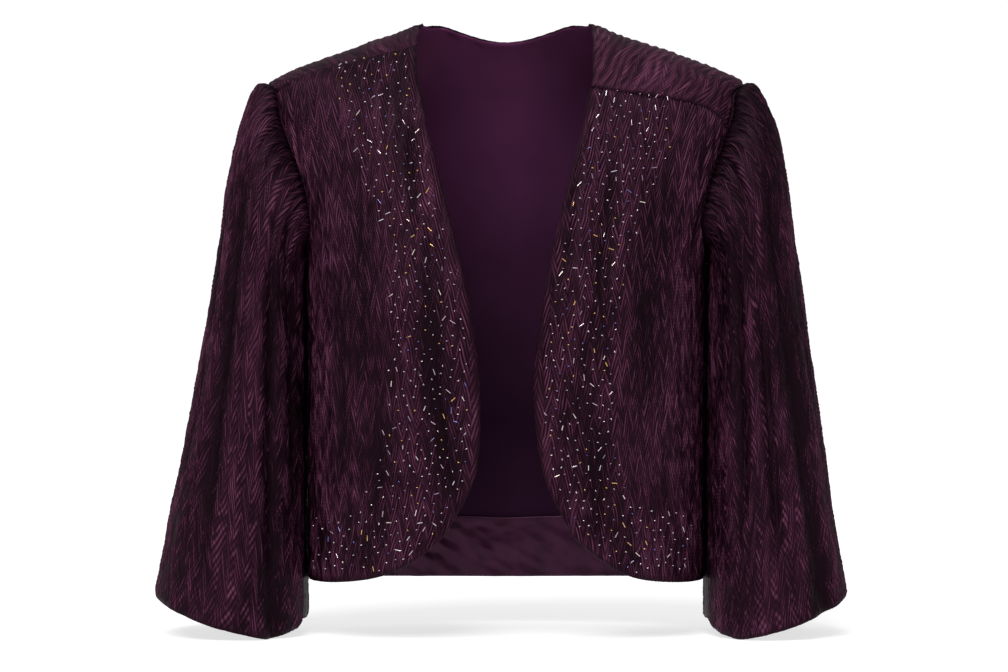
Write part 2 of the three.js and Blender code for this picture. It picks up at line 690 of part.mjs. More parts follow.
// Rows run up from the hem, columns from the wearer's left side seam to the right one
function backMain() {

	const ridgeShares = evenShares( SHOULDER_COLUMNS );
	const top = [
		...resample( shoulderRidge( 'left' ), ridgeShares ),
		...resample( backNeckCurve(), evenShares( NECK_COLUMNS ) ).slice( 1, - 1 ),
		...resample( shoulderRidge( 'right' ), ridgeShares ).reverse(),
	];
	const shares = belowArmholeShares();
	const hem = curveOnBody( BACK_HEM );
	const cornerAngle = smoothColumn( ARMHOLE, 'z', 'back' )( ARMHOLE_CORNER_Z );
	const cornerHemZ = smoothColumn( BACK_HEM, 'angle', 'z' )( cornerAngle );
	const blocks = [ 'left', 'right' ].map( ( side ) => {

		const column = resample( underarmColumn( side, 'back', cornerHemZ, CURVE_STEPS ).reverse(), shares );
		const armhole = armholePoints( side ).back.slice().reverse();
		const seam = resample( sideSeam( side, 'back', BACK_HEM[ 0 ].z, UNDERARM_Z, CURVE_STEPS ), shares );
		const sideHem = splitAt( side === 'left' ? hem : hem.slice().reverse(), column[ 0 ] )[ 0 ];
		const bottom = resample( sideHem, evenShares( UNDERARM_COLUMNS ) );
		const underarm = armhole.slice( 0, UNDERARM_COLUMNS + 1 );
		bottom[ 0 ] = seam[ 0 ];
		underarm[ 0 ] = seam[ BACK_SIDE_ROWS ];
		return {
			edge: [ ...column, ...armhole.slice( UNDERARM_COLUMNS + 1 ) ],
			below: bodyPatch( bottom, underarm, seam, column ),
		};

	} );
	const [ left, right ] = blocks;
	const middleHem = splitAt( splitAt( hem, left.edge[ 0 ] )[ 1 ], right.edge[ 0 ] )[ 0 ];
	const bottom = resample( middleHem, evenShares( BACK_COLUMNS - 2 * UNDERARM_COLUMNS ) );
	const middle = bodyPatch( bottom, top, left.edge, right.edge );
	const missing = Array( UNDERARM_COLUMNS ).fill( null );
	return middle.map( ( row, j ) => [
		...( left.below[ j ] ? left.below[ j ].slice( 0, - 1 ) : missing ),
		...row,
		...( right.below[ j ] ? right.below[ j ].slice( 0, - 1 ).reverse() : missing ),
	] );

}

// Strip from the shoulder ridge forward to the yoke seam, rows after the ridge itself
function shoulderStrip( side, ridge ) {

	const yokeSeam = yokeSeamCurve( side );
	const rows = YOKE_ROWS[ side ];
	const neckEdge = resample( splitAt( frontEdgeCurve( side ), yokeSeam[ 0 ] )[ 0 ], evenShares( rows ) );
	const armhole = armholePoints( side ).front.slice( 0, rows + 1 );
	const seam = offSeam( resample( yokeSeam, evenShares( SHOULDER_COLUMNS ) ).reverse(), SEAM_GAP / 2 );
	armhole[ 0 ] = ridge[ 0 ];
	neckEdge[ 0 ] = ridge[ SHOULDER_COLUMNS ];
	armhole[ rows ] = seam[ 0 ];
	neckEdge[ rows ] = seam[ SHOULDER_COLUMNS ];
	return bodyPatch( ridge, seam, armhole, neckEdge ).slice( 1 );

}

function backGrid() {

	const grid = backMain();
	const topRow = grid[ BACK_ROWS ];
	const leftRidge = topRow.slice( UNDERARM_COLUMNS, UNDERARM_COLUMNS + SHOULDER_COLUMNS + 1 );
	const mirrored = topRow.slice().reverse();
	const rightRidge = mirrored.slice( UNDERARM_COLUMNS, UNDERARM_COLUMNS + SHOULDER_COLUMNS + 1 );
	const left = shoulderStrip( 'left', leftRidge );
	const right = shoulderStrip( 'right', rightRidge );
	const missing = ( count ) => Array( count ).fill( null );
	const strip = ( rows, j ) => rows[ j ] ?? missing( SHOULDER_COLUMNS + 1 );
	for ( let j = 0; j < Math.max( left.length, right.length ); j ++ ) {

		grid.push( [
			...missing( UNDERARM_COLUMNS ), ...strip( left, j ), ...missing( NECK_COLUMNS - 1 ),
			...strip( right, j ).slice().reverse(), ...missing( UNDERARM_COLUMNS ),
		] );

	}

	return grid;

}

// Lining and hem facing lie against the inside of the back, a seam gap from it

// Moves a row of points along the cloth towards the row beside it
function rowTowards( row, beside, distance ) {

	return row.map( ( point, i ) => {

		if ( ! point ) return null;
		return point.clone().lerp( beside[ i ], distance / point.distanceTo( beside[ i ] ) );

	} );

}

function innerSkin( rows ) {

	const lifted = ( offset ) => rows.map( ( row ) => row.map( ( point ) => point &&
		point.clone().addScaledVector( bodyNormal( point ), creaseDepth( point ) - WALL - SEAM_GAP - offset ) ) );
	return clothWall( lifted( 0 ), lifted( LINING_WALL ), 1 );

}

// Sleeves

const ARMHOLE_MIDDLE_Z = ( SHOULDER_TIP_Z + UNDERARM_Z ) / 2;

// Point of half an armhole at a turn from its tip round its middle, in the proportions of its height and reach
function armholeAt( half, turn ) {

	const reach = Math.max( ...half.map( ( { y } ) => Math.abs( y - CENTRE_Y ) ) );
	const turns = half.map( ( { y, z } ) => {

		const across = Math.abs( y - CENTRE_Y ) / reach;
		const up = ( z - ARMHOLE_MIDDLE_Z ) / ( SHOULDER_TIP_Z - ARMHOLE_MIDDLE_Z );
		return Math.atan2( across, up ) * 180 / Math.PI;

	} );
	let i = 0;
	while ( i < half.length - 2 && turn > turns[ i + 1 ] ) i ++;
	const t = clamp( ( turn - turns[ i ] ) / ( turns[ i + 1 ] - turns[ i ] ), 0, 1 );
	return half[ i ].clone().lerp( half[ i + 1 ], t );

}

function sleeveBase( side ) {

	const sign = SIDES[ side ];
	const seam = armholePoints( side );
	const column = ( name ) => smoothColumn( SLEEVE_RINGS[ side ], 'part', name );
	const outerX = column( 'outerX' );
	const outerZ = column( 'outerZ' );
	const innerX = column( 'innerX' );
	const innerZ = column( 'innerZ' );
	const front = column( 'front' );
	const back = column( 'back' );
	const keepsArmhole = column( 'armhole' );
	const dip = smoothColumn( CUFF_DIP, 'turn', 'dip' );

	return ( turn, part ) => {

		const cos = Math.cos( radians( turn ) );
		const sin = Math.sin( radians( turn ) );
		const reach = ( Math.abs( cos ) ** SQUARENESS + Math.abs( sin ) ** SQUARENESS ) ** ( - 1 / SQUARENESS );
		const share = ( 1 + cos * reach ) / 2;
		const ring = new THREE.Vector3(
			sign * THREE.MathUtils.lerp( innerX( part ), outerX( part ), share ),
			- sin * reach * ( sin > 0 ? front( part ) : back( part ) ),
			THREE.MathUtils.lerp( innerZ( part ), outerZ( part ), share ) - dip( turn ) * part ** 3,
		);
		const rest = ( turn - INNER_REST.turn ) / INNER_REST.halfWidth;
		const lowered = smooth( clamp( ( part - INNER_REST.start ) / ( INNER_REST.full - INNER_REST.start ), 0, 1 ) );
		ring.x -= sign * INNER_REST.depth * Math.exp( - rest * rest ) * lowered;
		const head = turn <= 180 ? armholeAt( seam.front, turn ) : armholeAt( seam.back, 360 - turn );
		const inwards = new THREE.Vector3( 0, CENTRE_Y - head.y, ARMHOLE_MIDDLE_Z - head.z ).normalize();
		head.addScaledVector( inwards, ARMHOLE_GAP );
		head.x += sign * ARMHOLE_GAP;
		return ring.lerp( head, clamp( keepsArmhole( part ), 0, 1 ) );

	};

}

function sleeveFoldDepth( side, turn, part, girth ) {

	let depth = 0;
	for ( const fold of SLEEVE_FOLDS[ side ] ) {

		const t = ( part - fold.start ) / ( fold.end - fold.start );
		if ( t <= 0 || ( t >= 1 && fold.end < 1 ) ) continue;
		const centre = THREE.MathUtils.lerp( fold.topTurn, fold.endTurn, clamp( t, 0, 1 ) );
		const offset = ( turn - centre ) / 360 * girth / fold.width;
		const fadeIn = smooth( clamp( t / 0.3, 0, 1 ) );
		const fadeOut = fold.end < 1 ? smooth( clamp( ( 1 - t ) / 0.3, 0, 1 ) ) : 1;
		depth -= fold.depth * Math.exp( - offset * offset ) * fadeIn * fadeOut;

	}

	return depth;

}

function sleeve( side ) {

	const base = sleeveBase( side );
	const headReach = ( turn ) => {

		const fromTip = turn <= 180 ? turn : 360 - turn;
		return 1 - smooth( clamp( ( fromTip - GATHER_REACH ) / GATHER_FADE + 1, 0, 1 ) );

	};

	const parts = evenShares( SLEEVE_ROWS ).map( ( share ) => share ** RING_CROWDING );
	const outer = [];
	const inner = [];
	for ( const part of parts ) {

		const outerRow = [];
		const innerRow = [];
		for ( let i = 0; i < SLEEVE_COLUMNS; i ++ ) {

			const turn = i / SLEEVE_COLUMNS * 360;
			const point = base( turn, part );
			const around = base( ( turn + 1 ) % 360, part ).sub( base( ( turn + 359 ) % 360, part ) );
			const along = base( turn, Math.min( 1, part + 0.01 ) ).sub( base( turn, Math.max( 0, part - 0.01 ) ) );
			const normal = around.cross( along ).normalize().multiplyScalar( SIDES[ side ] );
			const girth = THREE.MathUtils.lerp( SLEEVE_GIRTH.head, SLEEVE_GIRTH.cuff, part );
			const settle = smooth( clamp( part / HEAD_SETTLE, 0, 1 ) );
			const gather = GATHER_HEIGHT * headReach( turn ) * Math.exp( - part * SLEEVE_LENGTH / GATHER_LENGTH );
			const crest = i % 2 === 1 ? 1 : 0;
			const shift = sleeveFoldDepth( side, turn, part, girth ) * settle + gather * crest * settle;
			const pleat = PLEAT_HEIGHT * crest * settle;
			outerRow.push( point.clone().addScaledVector( normal, shift + pleat ) );
			innerRow.push( point.clone().addScaledVector( normal, shift - WALL ) );

		}

		outerRow.push( outerRow[ 0 ] );
		innerRow.push( innerRow[ 0 ] );
		outer.push( outerRow );
		inner.push( innerRow );

	}

	return tubeWall( outer, inner );

}

// A cloth tube: rows are rings whose last point repeats the first
function tubeWall( outer, inner ) {

	const solid = new Solid();
	const columns = outer[ 0 ].length - 1;
	const index = ( grid ) => grid.map( ( row ) => {

		const first = row.slice( 0, columns ).map( ( point ) => solid.add( point ) );
		return [ ...first, first[ 0 ] ];

	} );
	const out = index( outer );
	const inn = index( inner );
	const last = outer.length - 1;
	for ( let i = 0; i < columns; i ++ ) {

		for ( let j = 0; j < last; j ++ ) {

			solid.quad( out[ j ][ i ], out[ j ][ i + 1 ], out[ j + 1 ][ i + 1 ], out[ j + 1 ][ i ] );
			solid.quad( inn[ j ][ i ], inn[ j + 1 ][ i ], inn[ j + 1 ][ i + 1 ], inn[ j ][ i + 1 ] );

		}

		solid.quad( out[ 0 ][ i + 1 ], out[ 0 ][ i ], inn[ 0 ][ i ], inn[ 0 ][ i + 1 ] );
		solid.quad( out[ last ][ i ], out[ last ][ i + 1 ], inn[ last ][ i + 1 ], inn[ last ][ i ] );

	}

	return solid.geometry();

}

// The jacket

const pleatedCloth = { color: 0x3f1d38, roughness: 0.62, metalness: 0 };
const liningCloth = { color: 0x46204a, roughness: 0.7, metalness: 0 };
const satin = { color: 0x4b1f40, roughness: 0.4, metalness: 0 };

function piece( name, geometry, finish ) {

	const mesh = new THREE.Mesh( geometry, new THREE.MeshStandardMaterial( finish ) );
	mesh.name = name;
	return mesh;

}

const group = new THREE.Group();
const back = backGrid();
const backFaces = panelFaces( back );
const liningRows = back.slice( FACING_ROWS, BACK_ROWS + 1 );
liningRows[ 0 ] = rowTowards( liningRows[ 0 ], liningRows[ 1 ], SEAM_GAP );
const facingRows = back.slice( 0, FACING_ROWS + 1 );
facingRows[ 0 ] = rowTowards( facingRows[ 0 ], facingRows[ 1 ], FACING_HEM_EDGE );
group.add( piece( 'back', clothWall( backFaces.outer, backFaces.inner, 1 ), pleatedCloth ) );
group.add( piece( 'back_lining', innerSkin( liningRows ), liningCloth ) );
group.add( piece( 'hem_facing', innerSkin( facingRows ), satin ) );
for ( const side of [ 'right', 'left' ] ) {

	group.add( piece( 'front_' + side, frontPanel( side ), pleatedCloth ) );
	group.add( piece( 'sleeve_' + side, sleeve( side ), pleatedCloth ) );

}

export default group;
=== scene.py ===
# %% [markdown]
# # A beaded evening jacket in pleated cloth
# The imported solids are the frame. Every cloth panel of the real jacket is made again here
# on the same form, with its fine pleats, folds, lining, hem facing and beads.

# %% Load the frame
import math

import bpy
import numpy as np
from mathutils import Matrix, Vector
from mathutils.kdtree import KDTree


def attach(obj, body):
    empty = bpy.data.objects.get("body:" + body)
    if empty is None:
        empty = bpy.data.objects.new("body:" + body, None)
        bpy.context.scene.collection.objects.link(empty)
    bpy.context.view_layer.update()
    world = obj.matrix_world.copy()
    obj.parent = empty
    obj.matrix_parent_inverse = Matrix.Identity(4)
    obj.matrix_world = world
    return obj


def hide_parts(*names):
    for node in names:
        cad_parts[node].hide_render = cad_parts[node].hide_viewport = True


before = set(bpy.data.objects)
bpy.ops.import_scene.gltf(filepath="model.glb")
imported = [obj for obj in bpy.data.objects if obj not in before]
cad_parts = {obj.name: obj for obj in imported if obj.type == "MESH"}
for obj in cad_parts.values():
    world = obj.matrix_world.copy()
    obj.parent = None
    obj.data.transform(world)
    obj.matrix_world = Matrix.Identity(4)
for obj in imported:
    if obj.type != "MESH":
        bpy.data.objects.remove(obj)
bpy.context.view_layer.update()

MM = 0.001
print("nodes:", sorted(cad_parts))

# %% [markdown]
# ## Camera, floor and light
# The jacket is seen straight from the front, level with its middle. A long lens keeps the
# sleeves upright. White paper under and behind it, and big soft lights, give the even studio look.

# %% Camera
CAMERA_PLACE = (-0.0017, -3.0, -0.274)
FIELD_AT_ORIGIN = 0.877
SENSOR = 36.0

camera_data = bpy.data.cameras.new("camera")
camera_data.sensor_width = SENSOR
camera_data.lens = SENSOR * abs(CAMERA_PLACE[1]) / FIELD_AT_ORIGIN
camera = bpy.data.objects.new("camera", camera_data)
camera.location = CAMERA_PLACE
camera.rotation_euler = (math.pi / 2, 0, 0)
bpy.context.scene.collection.objects.link(camera)
bpy.context.scene.camera = camera
print("lens", round(camera_data.lens, 1), "mm")

# %% Floor and light
FLOOR_Z = -0.5325
FLOOR_HALF = 6.0
PAPER_GLOW = 0.71


def new_object(name, mesh):
    made = bpy.data.objects.new(name, mesh)
    bpy.context.scene.collection.objects.link(made)
    return made


def studio_floor():
    mesh = bpy.data.meshes.new("studio_floor")
    corners = [(-1, -1), (1, -1), (1, 1), (-1, 1)]
    mesh.from_pydata([(x * FLOOR_HALF, y * FLOOR_HALF, FLOOR_Z) for x, y in corners], [], [(0, 1, 2, 3)])
    paper = bpy.data.materials.new("studio_paper")
    paper.use_nodes = True
    shader = paper.node_tree.nodes["Principled BSDF"]
    shader.inputs["Base Color"].default_value = (0.40, 0.40, 0.40, 1)
    shader.inputs["Emission Color"].default_value = (1, 1, 1, 1)
    shader.inputs["Emission Strength"].default_value = PAPER_GLOW
    shader.inputs["Roughness"].default_value = 0.9
    shader.inputs["Specular IOR Level"].default_value = 0.1
    mesh.materials.append(paper)
    floor = new_object("studio_floor", mesh)


def soft_sun(name, height, turn, spread, strength):
    """A very large far light: its height and its turn to the left of the camera in degrees."""
    data = bpy.data.lights.new(name, "SUN")
    data.energy = strength
    data.angle = math.radians(spread)
    lamp = bpy.data.objects.new(name, data)
    height, turn = math.radians(height), math.radians(turn)
    flat = math.cos(height)
    towards = Vector((-math.sin(turn) * flat, -math.cos(turn) * flat, math.sin(height)))
    lamp.rotation_euler = (-towards).to_track_quat("-Z", "Y").to_euler()
    bpy.context.scene.collection.objects.link(lamp)


def studio_world(seen, glow):
    """White behind the jacket, and a softer glow from all round."""
    world = bpy.data.worlds.new("studio_world")
    world.use_nodes = True
    tree = world.node_tree
    background = tree.nodes["Background"]
    background.inputs["Color"].default_value = (1, 1, 1, 1)
    ray = tree.nodes.new("ShaderNodeLightPath")
    strength = tree.nodes.new("ShaderNodeMix")
    strength.inputs[2].default_value = glow
    strength.inputs[3].default_value = seen
    tree.links.new(ray.outputs["Is Camera Ray"], strength.inputs[0])
    tree.links.new(strength.outputs[0], background.inputs["Strength"])
    bpy.context.scene.world = world


studio_floor()
studio_world(seen=1.05, glow=0.42)
soft_sun("key_above", height=48, turn=14, spread=34, strength=3.2)
soft_sun("fill_right", height=30, turn=-50, spread=50, strength=0.12)
bpy.context.scene.view_settings.view_transform = "Standard"

# %% [markdown]
# ## The form under the cloth
# The jacket stands open as if worn. Its form is a stack of soft rectangles, wider at the
# shoulders, closed on top by the slope of the shoulders. The tables give the form in
# millimetres, and a smooth curve runs through each column of a table.

# %% Tables of the form
WALL = 1.6
SEAM_GAP = 0.3
ARMHOLE_GAP = 0.2
LINING_WALL = 1.2
NECK_HALF_WIDTH = 72
NECK_POINT_Z = 1
BACK_NECK_DROP = 13
SHOULDER_TIP_Z = -54
ARMHOLE_CORNER_Z = -178
UNDERARM_Z = -205
FRONT_HEM_Z = -484
CENTRE_Y = 5
SQUARENESS = 2.3
CORE_TOP_Z = -100

# height, half width, depth in front, depth behind
BODY_SECTIONS = [
    (-490, 172, 112, 104), (-400, 171.6, 113, 100), (-320, 171.6, 119, 101), (-260, 172, 120, 103),
    (-205, 174, 112, 106), (-155, 184, 101, 105), (-133, 190, 95, 103), (-104, 199, 86, 97),
    (-80, 208, 77, 91), (-62, 209.5, 69, 85), (-54, 207, 65, 81), (-47, 196, 60, 77),
    (-30, 152.5, 47, 66), (-18, 118.5, 36, 55), (-10, 96, 27, 44), (-5, 86, 20, 34),
    (0, 76, 11, 15), (4, 66, 3, 4),
]
# height, degrees round from the centre front to the armhole's front and back halves
ARMHOLE = [
    (-54, 90, 90), (-58, 85, 94), (-63, 82, 97), (-80, 80.5, 100), (-107, 79, 103), (-136, 76, 105),
    (-160, 74.5, 106), (-180, 75, 105), (-195, 79, 101), (-202, 84, 96), (-205, 90, 90),
]
# x and z of the open edge from the neck down, then of the hem from the corner to the side
FRONT_EDGE = {
    "right": [(76, -9), (77, -28), (74, -60), (67, -95), (51, -160), (34.5, -227), (24, -294),
              (21.8, -340), (26, -392), (51, -441)],
    "left": [(75, -9), (75, -28), (72.5, -60), (65.5, -95), (49, -160), (34.5, -227), (24.7, -294),
             (24, -340), (32, -392), (55, -441)],
}
FRONT_HEM = {
    "right": [(51, -441), (76, -462.5), (108, -477.5), (145, -483.5)],
    "left": [(55, -441), (80, -462.5), (110, -478.5), (145, -483.5)],
}
# degrees round from the centre front, and height, of the hem of the back
BACK_HEM = [(90, -484), (105, -486), (125, -488.3), (150, -489.6), (180, -490), (210, -489.6),
            (235, -488.3), (255, -486), (270, -484)]
YOKE_SEAM = {
    "right": [(77, -23), (143, -40), (185, -54.5)],
    "left": [(72.8, -61), (115, -67.5), (166, -76.3)],
}
YOKE_ARMHOLE_Z = {"right": -64, "left": -97}
# The wearer's right is on the side of negative x
SIDES = {"right": -1, "left": 1}
print("form from", BODY_SECTIONS[0][0], "to", BODY_SECTIONS[-1][0], "mm")

# %% Smooth tables


def smooth_table(xs, ys):
    """A smooth curve through the rows of a table that never overshoots them."""
    xs, ys = np.array(xs, float), np.array(ys, float)
    if xs[-1] < xs[0]:
        xs, ys = xs[::-1], ys[::-1]
    slopes = np.diff(ys) / np.diff(xs)
    tangents = np.concatenate([slopes[:1], np.zeros(len(xs) - 2), slopes[-1:]])
    for i in range(1, len(xs) - 1):
        before, after = slopes[i - 1], slopes[i]
        if before * after > 0:
            tangents[i] = 2 * before * after / (before + after)

    def value(x):
        x = np.asarray(x, float)
        i = np.clip(np.searchsorted(xs, x, side="left") - 1, 0, len(xs) - 2)
        width = xs[i + 1] - xs[i]
        t = np.clip((x - xs[i]) / width, 0, 1)
        start = (1 + 2 * t) * (1 - t) ** 2 * ys[i] + t * (1 - t) ** 2 * width * tangents[i]
        end = t * t * (3 - 2 * t) * ys[i + 1] - t * t * (1 - t) * width * tangents[i + 1]
        beyond = np.minimum(x - xs[0], 0) * tangents[0] + np.maximum(x - xs[-1], 0) * tangents[-1]
        return start + end + beyond

    return value


def column_of(table, index):
    return smooth_table([row[0] for row in table], [row[index] for row in table])


half_width_at = column_of(BODY_SECTIONS, 1)
front_depth_at = column_of(BODY_SECTIONS, 2)
back_depth_at = column_of(BODY_SECTIONS, 3)
armhole_angle = {"front": column_of(ARMHOLE, 1), "back": column_of(ARMHOLE, 2)}
CORNER_HEM_Z = float(column_of(BACK_HEM, 1)(armhole_angle["back"](ARMHOLE_CORNER_Z)))


def smooth(t):
    """A soft step from 0 to 1."""
    t = np.clip(t, 0, 1)
    return t * t * (3 - 2 * t)


def bell(x, width):
    """1 in the middle, near 0 at twice the width."""
    return np.exp(-(x / width) ** 2)


print("half width at the chest", round(float(half_width_at(-133)), 1), "mm")

# %% [markdown]
# ## Points on the form
# One formula says whether a point is inside the form. From it come the points of the
# surface, the way to bring a nearby point onto it, and the direction that faces out.

# %% Points on the form
NEAREST, FARTHEST, HALVINGS = 0.5, 2.0, 36
NORMAL_STEP = 0.5


def body_value(x, y, z):
    """Below 1 inside the form, 1 on its surface."""
    depth = np.maximum(0.5, np.where(y < CENTRE_Y, front_depth_at(z), back_depth_at(z)))
    across = np.abs(x) / np.maximum(1, half_width_at(z))
    return across ** SQUARENESS + (np.abs(y - CENTRE_Y) / depth) ** SQUARENESS


def body_point(angle, z):
    """Points of the surface at angles from the centre front, 90 on the wearer's left."""
    angle, z = np.broadcast_arrays(np.radians(np.asarray(angle, float)), np.asarray(z, float))
    dx, dy = np.sin(angle), -np.cos(angle)
    reach = body_value(dx, CENTRE_Y + dy, z) ** (-1 / SQUARENESS)
    return np.stack([dx * reach, CENTRE_Y + dy * reach, z], -1)


def angle_at(x, z, face):
    """Degrees round from the centre front of the surface's point at x and z."""
    share = np.clip(abs(x) / half_width_at(z), 0, 1)
    depth = front_depth_at(z) if face == "front" else back_depth_at(z)
    dy = depth * (1 - share ** SQUARENESS) ** (1 / SQUARENESS)
    angle = math.degrees(math.atan2(abs(x), dy))
    return angle if face == "front" else 180 - angle


def onto_body(points):
    """Brings points near the surface onto it, along lines from the form's core."""
    core = np.stack([np.zeros(points.shape[:-1]), np.full(points.shape[:-1], CENTRE_Y),
                     np.minimum(points[..., 2], CORE_TOP_Z)], -1)
    ray = points - core
    low, high = np.full(points.shape[:-1], NEAREST), np.full(points.shape[:-1], FARTHEST)
    for _ in range(HALVINGS):
        middle = (low + high) / 2
        there = core + ray * middle[..., None]
        inside = body_value(there[..., 0], there[..., 1], there[..., 2]) < 1
        low, high = np.where(inside, middle, low), np.where(inside, high, middle)
    return core + ray * low[..., None]


def body_normal(points):
    """The direction that faces out of the form."""
    x, y, z = points[..., 0], points[..., 1], points[..., 2]
    h = NORMAL_STEP
    normal = np.stack([
        body_value(x + h, y, z) - body_value(x - h, y, z),
        body_value(x, y + h, z) - body_value(x, y - h, z),
        body_value(x, y, z + h) - body_value(x, y, z - h),
    ], -1)
    return normal / np.linalg.norm(normal, axis=-1, keepdims=True)


print("front of the chest at y", round(float(body_point(0, -133)[1]), 1), "mm")

# %% [markdown]
# ## The outlines of the panels
# A pattern cutter draws each panel's outline and lays cloth between the lines. Here the
# outlines are curves on the form, and a patch of points is stretched between four of them.

# %% Outline curves
CURVE_STEPS = 160


def curve_on_body(points):
    """A smooth curve through angles and heights, which never loops between its points."""
    p = np.array(points, float)
    p = np.vstack([2 * p[0] - p[1], p, 2 * p[-1] - p[-2]])
    spans = len(points) - 1
    made = []
    for t in np.linspace(0, 1, CURVE_STEPS + 1):
        i = min(int(t * spans), spans - 1)
        w = t * spans - i
        a, b, c, d = p[i:i + 4]
        d0, d1, d2 = (max(np.sum((v - u) ** 2), 1e-16) ** 0.25 for u, v in ((a, b), (b, c), (c, d)))
        m1 = ((b - a) / d0 - (c - a) / (d0 + d1) + (c - b) / d1) * d1
        m2 = ((c - b) / d1 - (d - b) / (d1 + d2) + (d - c) / d2) * d1
        squared = -3 * b + 3 * c - 2 * m1 - m2
        cubed = 2 * b - 2 * c + m1 + m2
        made.append(b + m1 * w + squared * w ** 2 + cubed * w ** 3)
    made = np.array(made)
    return body_point(made[:, 0], made[:, 1])


def reached(line):
    """How far along a line each of its points lies."""
    return np.concatenate([[0], np.cumsum(np.linalg.norm(np.diff(line, axis=0), axis=1))])


def resample(line, shares):
    """Points at given shares of a line's length."""
    along = reached(line)
    targets = np.clip(shares, 0, 1) * along[-1]
    return np.stack([np.interp(targets, along, line[:, k]) for k in range(3)], -1)


def even(count):
    """Shares from 0 to 1 in this many steps."""
    return np.linspace(0, 1, count + 1)


def on_side(side, angle):
    """An angle given for the wearer's left, on either side."""
    return angle if SIDES[side] > 0 else 360 - angle


def split_at(line, place):
    """The two parts of a line before and after a place on it."""
    nearest = int(np.argmin(np.linalg.norm(line - place, axis=1)))
    return np.vstack([line[:nearest], place]), np.vstack([place, line[nearest + 1:]])


def armhole_curve(side, half, top_z, end_z):
    """The front or back half of an armhole, from one height down to another."""
    heights = [top_z] + [z for z, *_ in ARMHOLE if end_z + 1 < z < top_z - 1] + [end_z]
    return curve_on_body([(on_side(side, float(armhole_angle[half](z))), z) for z in heights])


def front_edge_curve(side):
    rows = [(on_side(side, angle_at(x, z, "front")), z) for x, z in FRONT_EDGE[side]]
    return curve_on_body([(on_side(side, 90), NECK_POINT_Z)] + rows)


def yoke_seam_curve(side):
    """The seam between a shoulder strip and the front, from the neck to the armhole."""
    rows = [(on_side(side, angle_at(x, z, "front")), z) for x, z in YOKE_SEAM[side]]
    z = YOKE_ARMHOLE_Z[side]
    return curve_on_body(rows + [(on_side(side, float(armhole_angle["front"](z))), z)])


print("seam in front of the left shoulder", round(reached(yoke_seam_curve("left"))[-1], 1), "mm")

# %% [markdown]
# ## Patches of cloth
# A patch is stretched like a net between its four outline curves, then every inner point
# is pressed onto the form, so that the panel follows the body and meets its seams exactly.

# %% Patches


def patch_between(bottom, top, start, end, shares=None):
    """A patch of points between four curves, laid onto the form. shares is how far up each row is."""
    u = even(len(bottom) - 1)[None, :, None]
    v = (even(len(start) - 1) if shares is None else shares)[:, None, None]
    across = bottom[None] * (1 - v) + top[None] * v
    along = start[:, None] * (1 - u) + end[:, None] * u
    corners = (bottom[0] * (1 - u) + bottom[-1] * u) * (1 - v) + (top[0] * (1 - u) + top[-1] * u) * v
    patch = across + along - corners
    patch[1:-1, 1:-1] = onto_body(patch[1:-1, 1:-1])
    return patch


def off_seam(points, distance):
    """Moves a seam's points a little way up or down the cloth."""
    normal = body_normal(points)
    up = np.array([0.0, 0, 1]) - normal * normal[:, 2:3]
    up /= np.linalg.norm(up, axis=1, keepdims=True)
    return points + up * distance


# %% [markdown]
# ## Irregular numbers
# Real pleats wander. A lattice of fixed random numbers, smoothly joined, bends and fades
# them, and it gives the same cloth every time.

# %% Soft noise
LATTICE = 64


def soft_noise(x, y, seed):
    """Smooth noise from -1 to 1, one bump to a unit."""
    values = np.random.RandomState(seed).uniform(-1, 1, (LATTICE, LATTICE))
    xi, yi = np.floor(x).astype(int), np.floor(y).astype(int)
    fx, fy = smooth(x - xi), smooth(y - yi)

    def corner(i, j):
        return values[(xi + i) % LATTICE, (yi + j) % LATTICE]

    low = corner(0, 0) * (1 - fx) + corner(1, 0) * fx
    high = corner(0, 1) * (1 - fx) + corner(1, 1) * fx
    return low * (1 - fy) + high * fy


def wave(s, t, layer, seed):
    """One layer of noise, given as the height, width and length of its bumps."""
    height, width, length = layer
    return height * soft_noise(s / width, t / length, seed)


def waves(s, t, layers, seed):
    """Layers of noise added up, each with a seed of its own."""
    return sum(wave(s, t, layer, seed + k) for k, layer in enumerate(layers))


def ripple(phase):
    """From 1 down to 0 and back, once to a unit."""
    return 0.5 + 0.5 * np.cos(2 * np.pi * phase)


print("noise in the middle of a square", round(float(soft_noise(0.5, 0.5, 1)), 3))

# %% [markdown]
# ## Tree-bark pleats
# The cloth is pressed into fine upright pleats that lean left in one band and right in the
# next, so they meet in long Vs. The height of the cloth at a place is worked out from where
# it lies across and along the panel, in millimetres.

# %% Pleats
# Height, width and length of the noise that moves the pleats aside, far and near
WANDER_FAR, WANDER_NEAR = (2.2, 31, 70), (0.8, 8, 30)
# The same for the bands, the last one in widths of a band
BAND_DRIFT, BAND_BREAK = (0.5, 30, 60), (0.95, 0.9, 2.6)
BAND_SHARPNESS = 1.5
PLEAT_DRIFT = (0.55, 8, 20)
# A crest's sharpness, its height, how much that changes, and over what length
CREST_POWER, CREST_HEIGHT, CREST_CHANGE, CREST_LENGTH = 1.15, 0.76, 0.52, 11
# How much lower the cloth lies where two bands meet, and how wide that is
MEETING_DROP, MEETING_WIDTH = 0.3, 0.2
# Patches where the pleats stand taller or flatter
PATCHES = (0.15, 24, 50)
HIGHEST_PLEAT = 1.2
# The softer folds: their height, how that changes, and how they drift
FOLD_HEIGHT, FOLD_CHANGE, FOLD_DRIFT = 0.8, (0.3, 9, 25), (0.4, 14, 20)


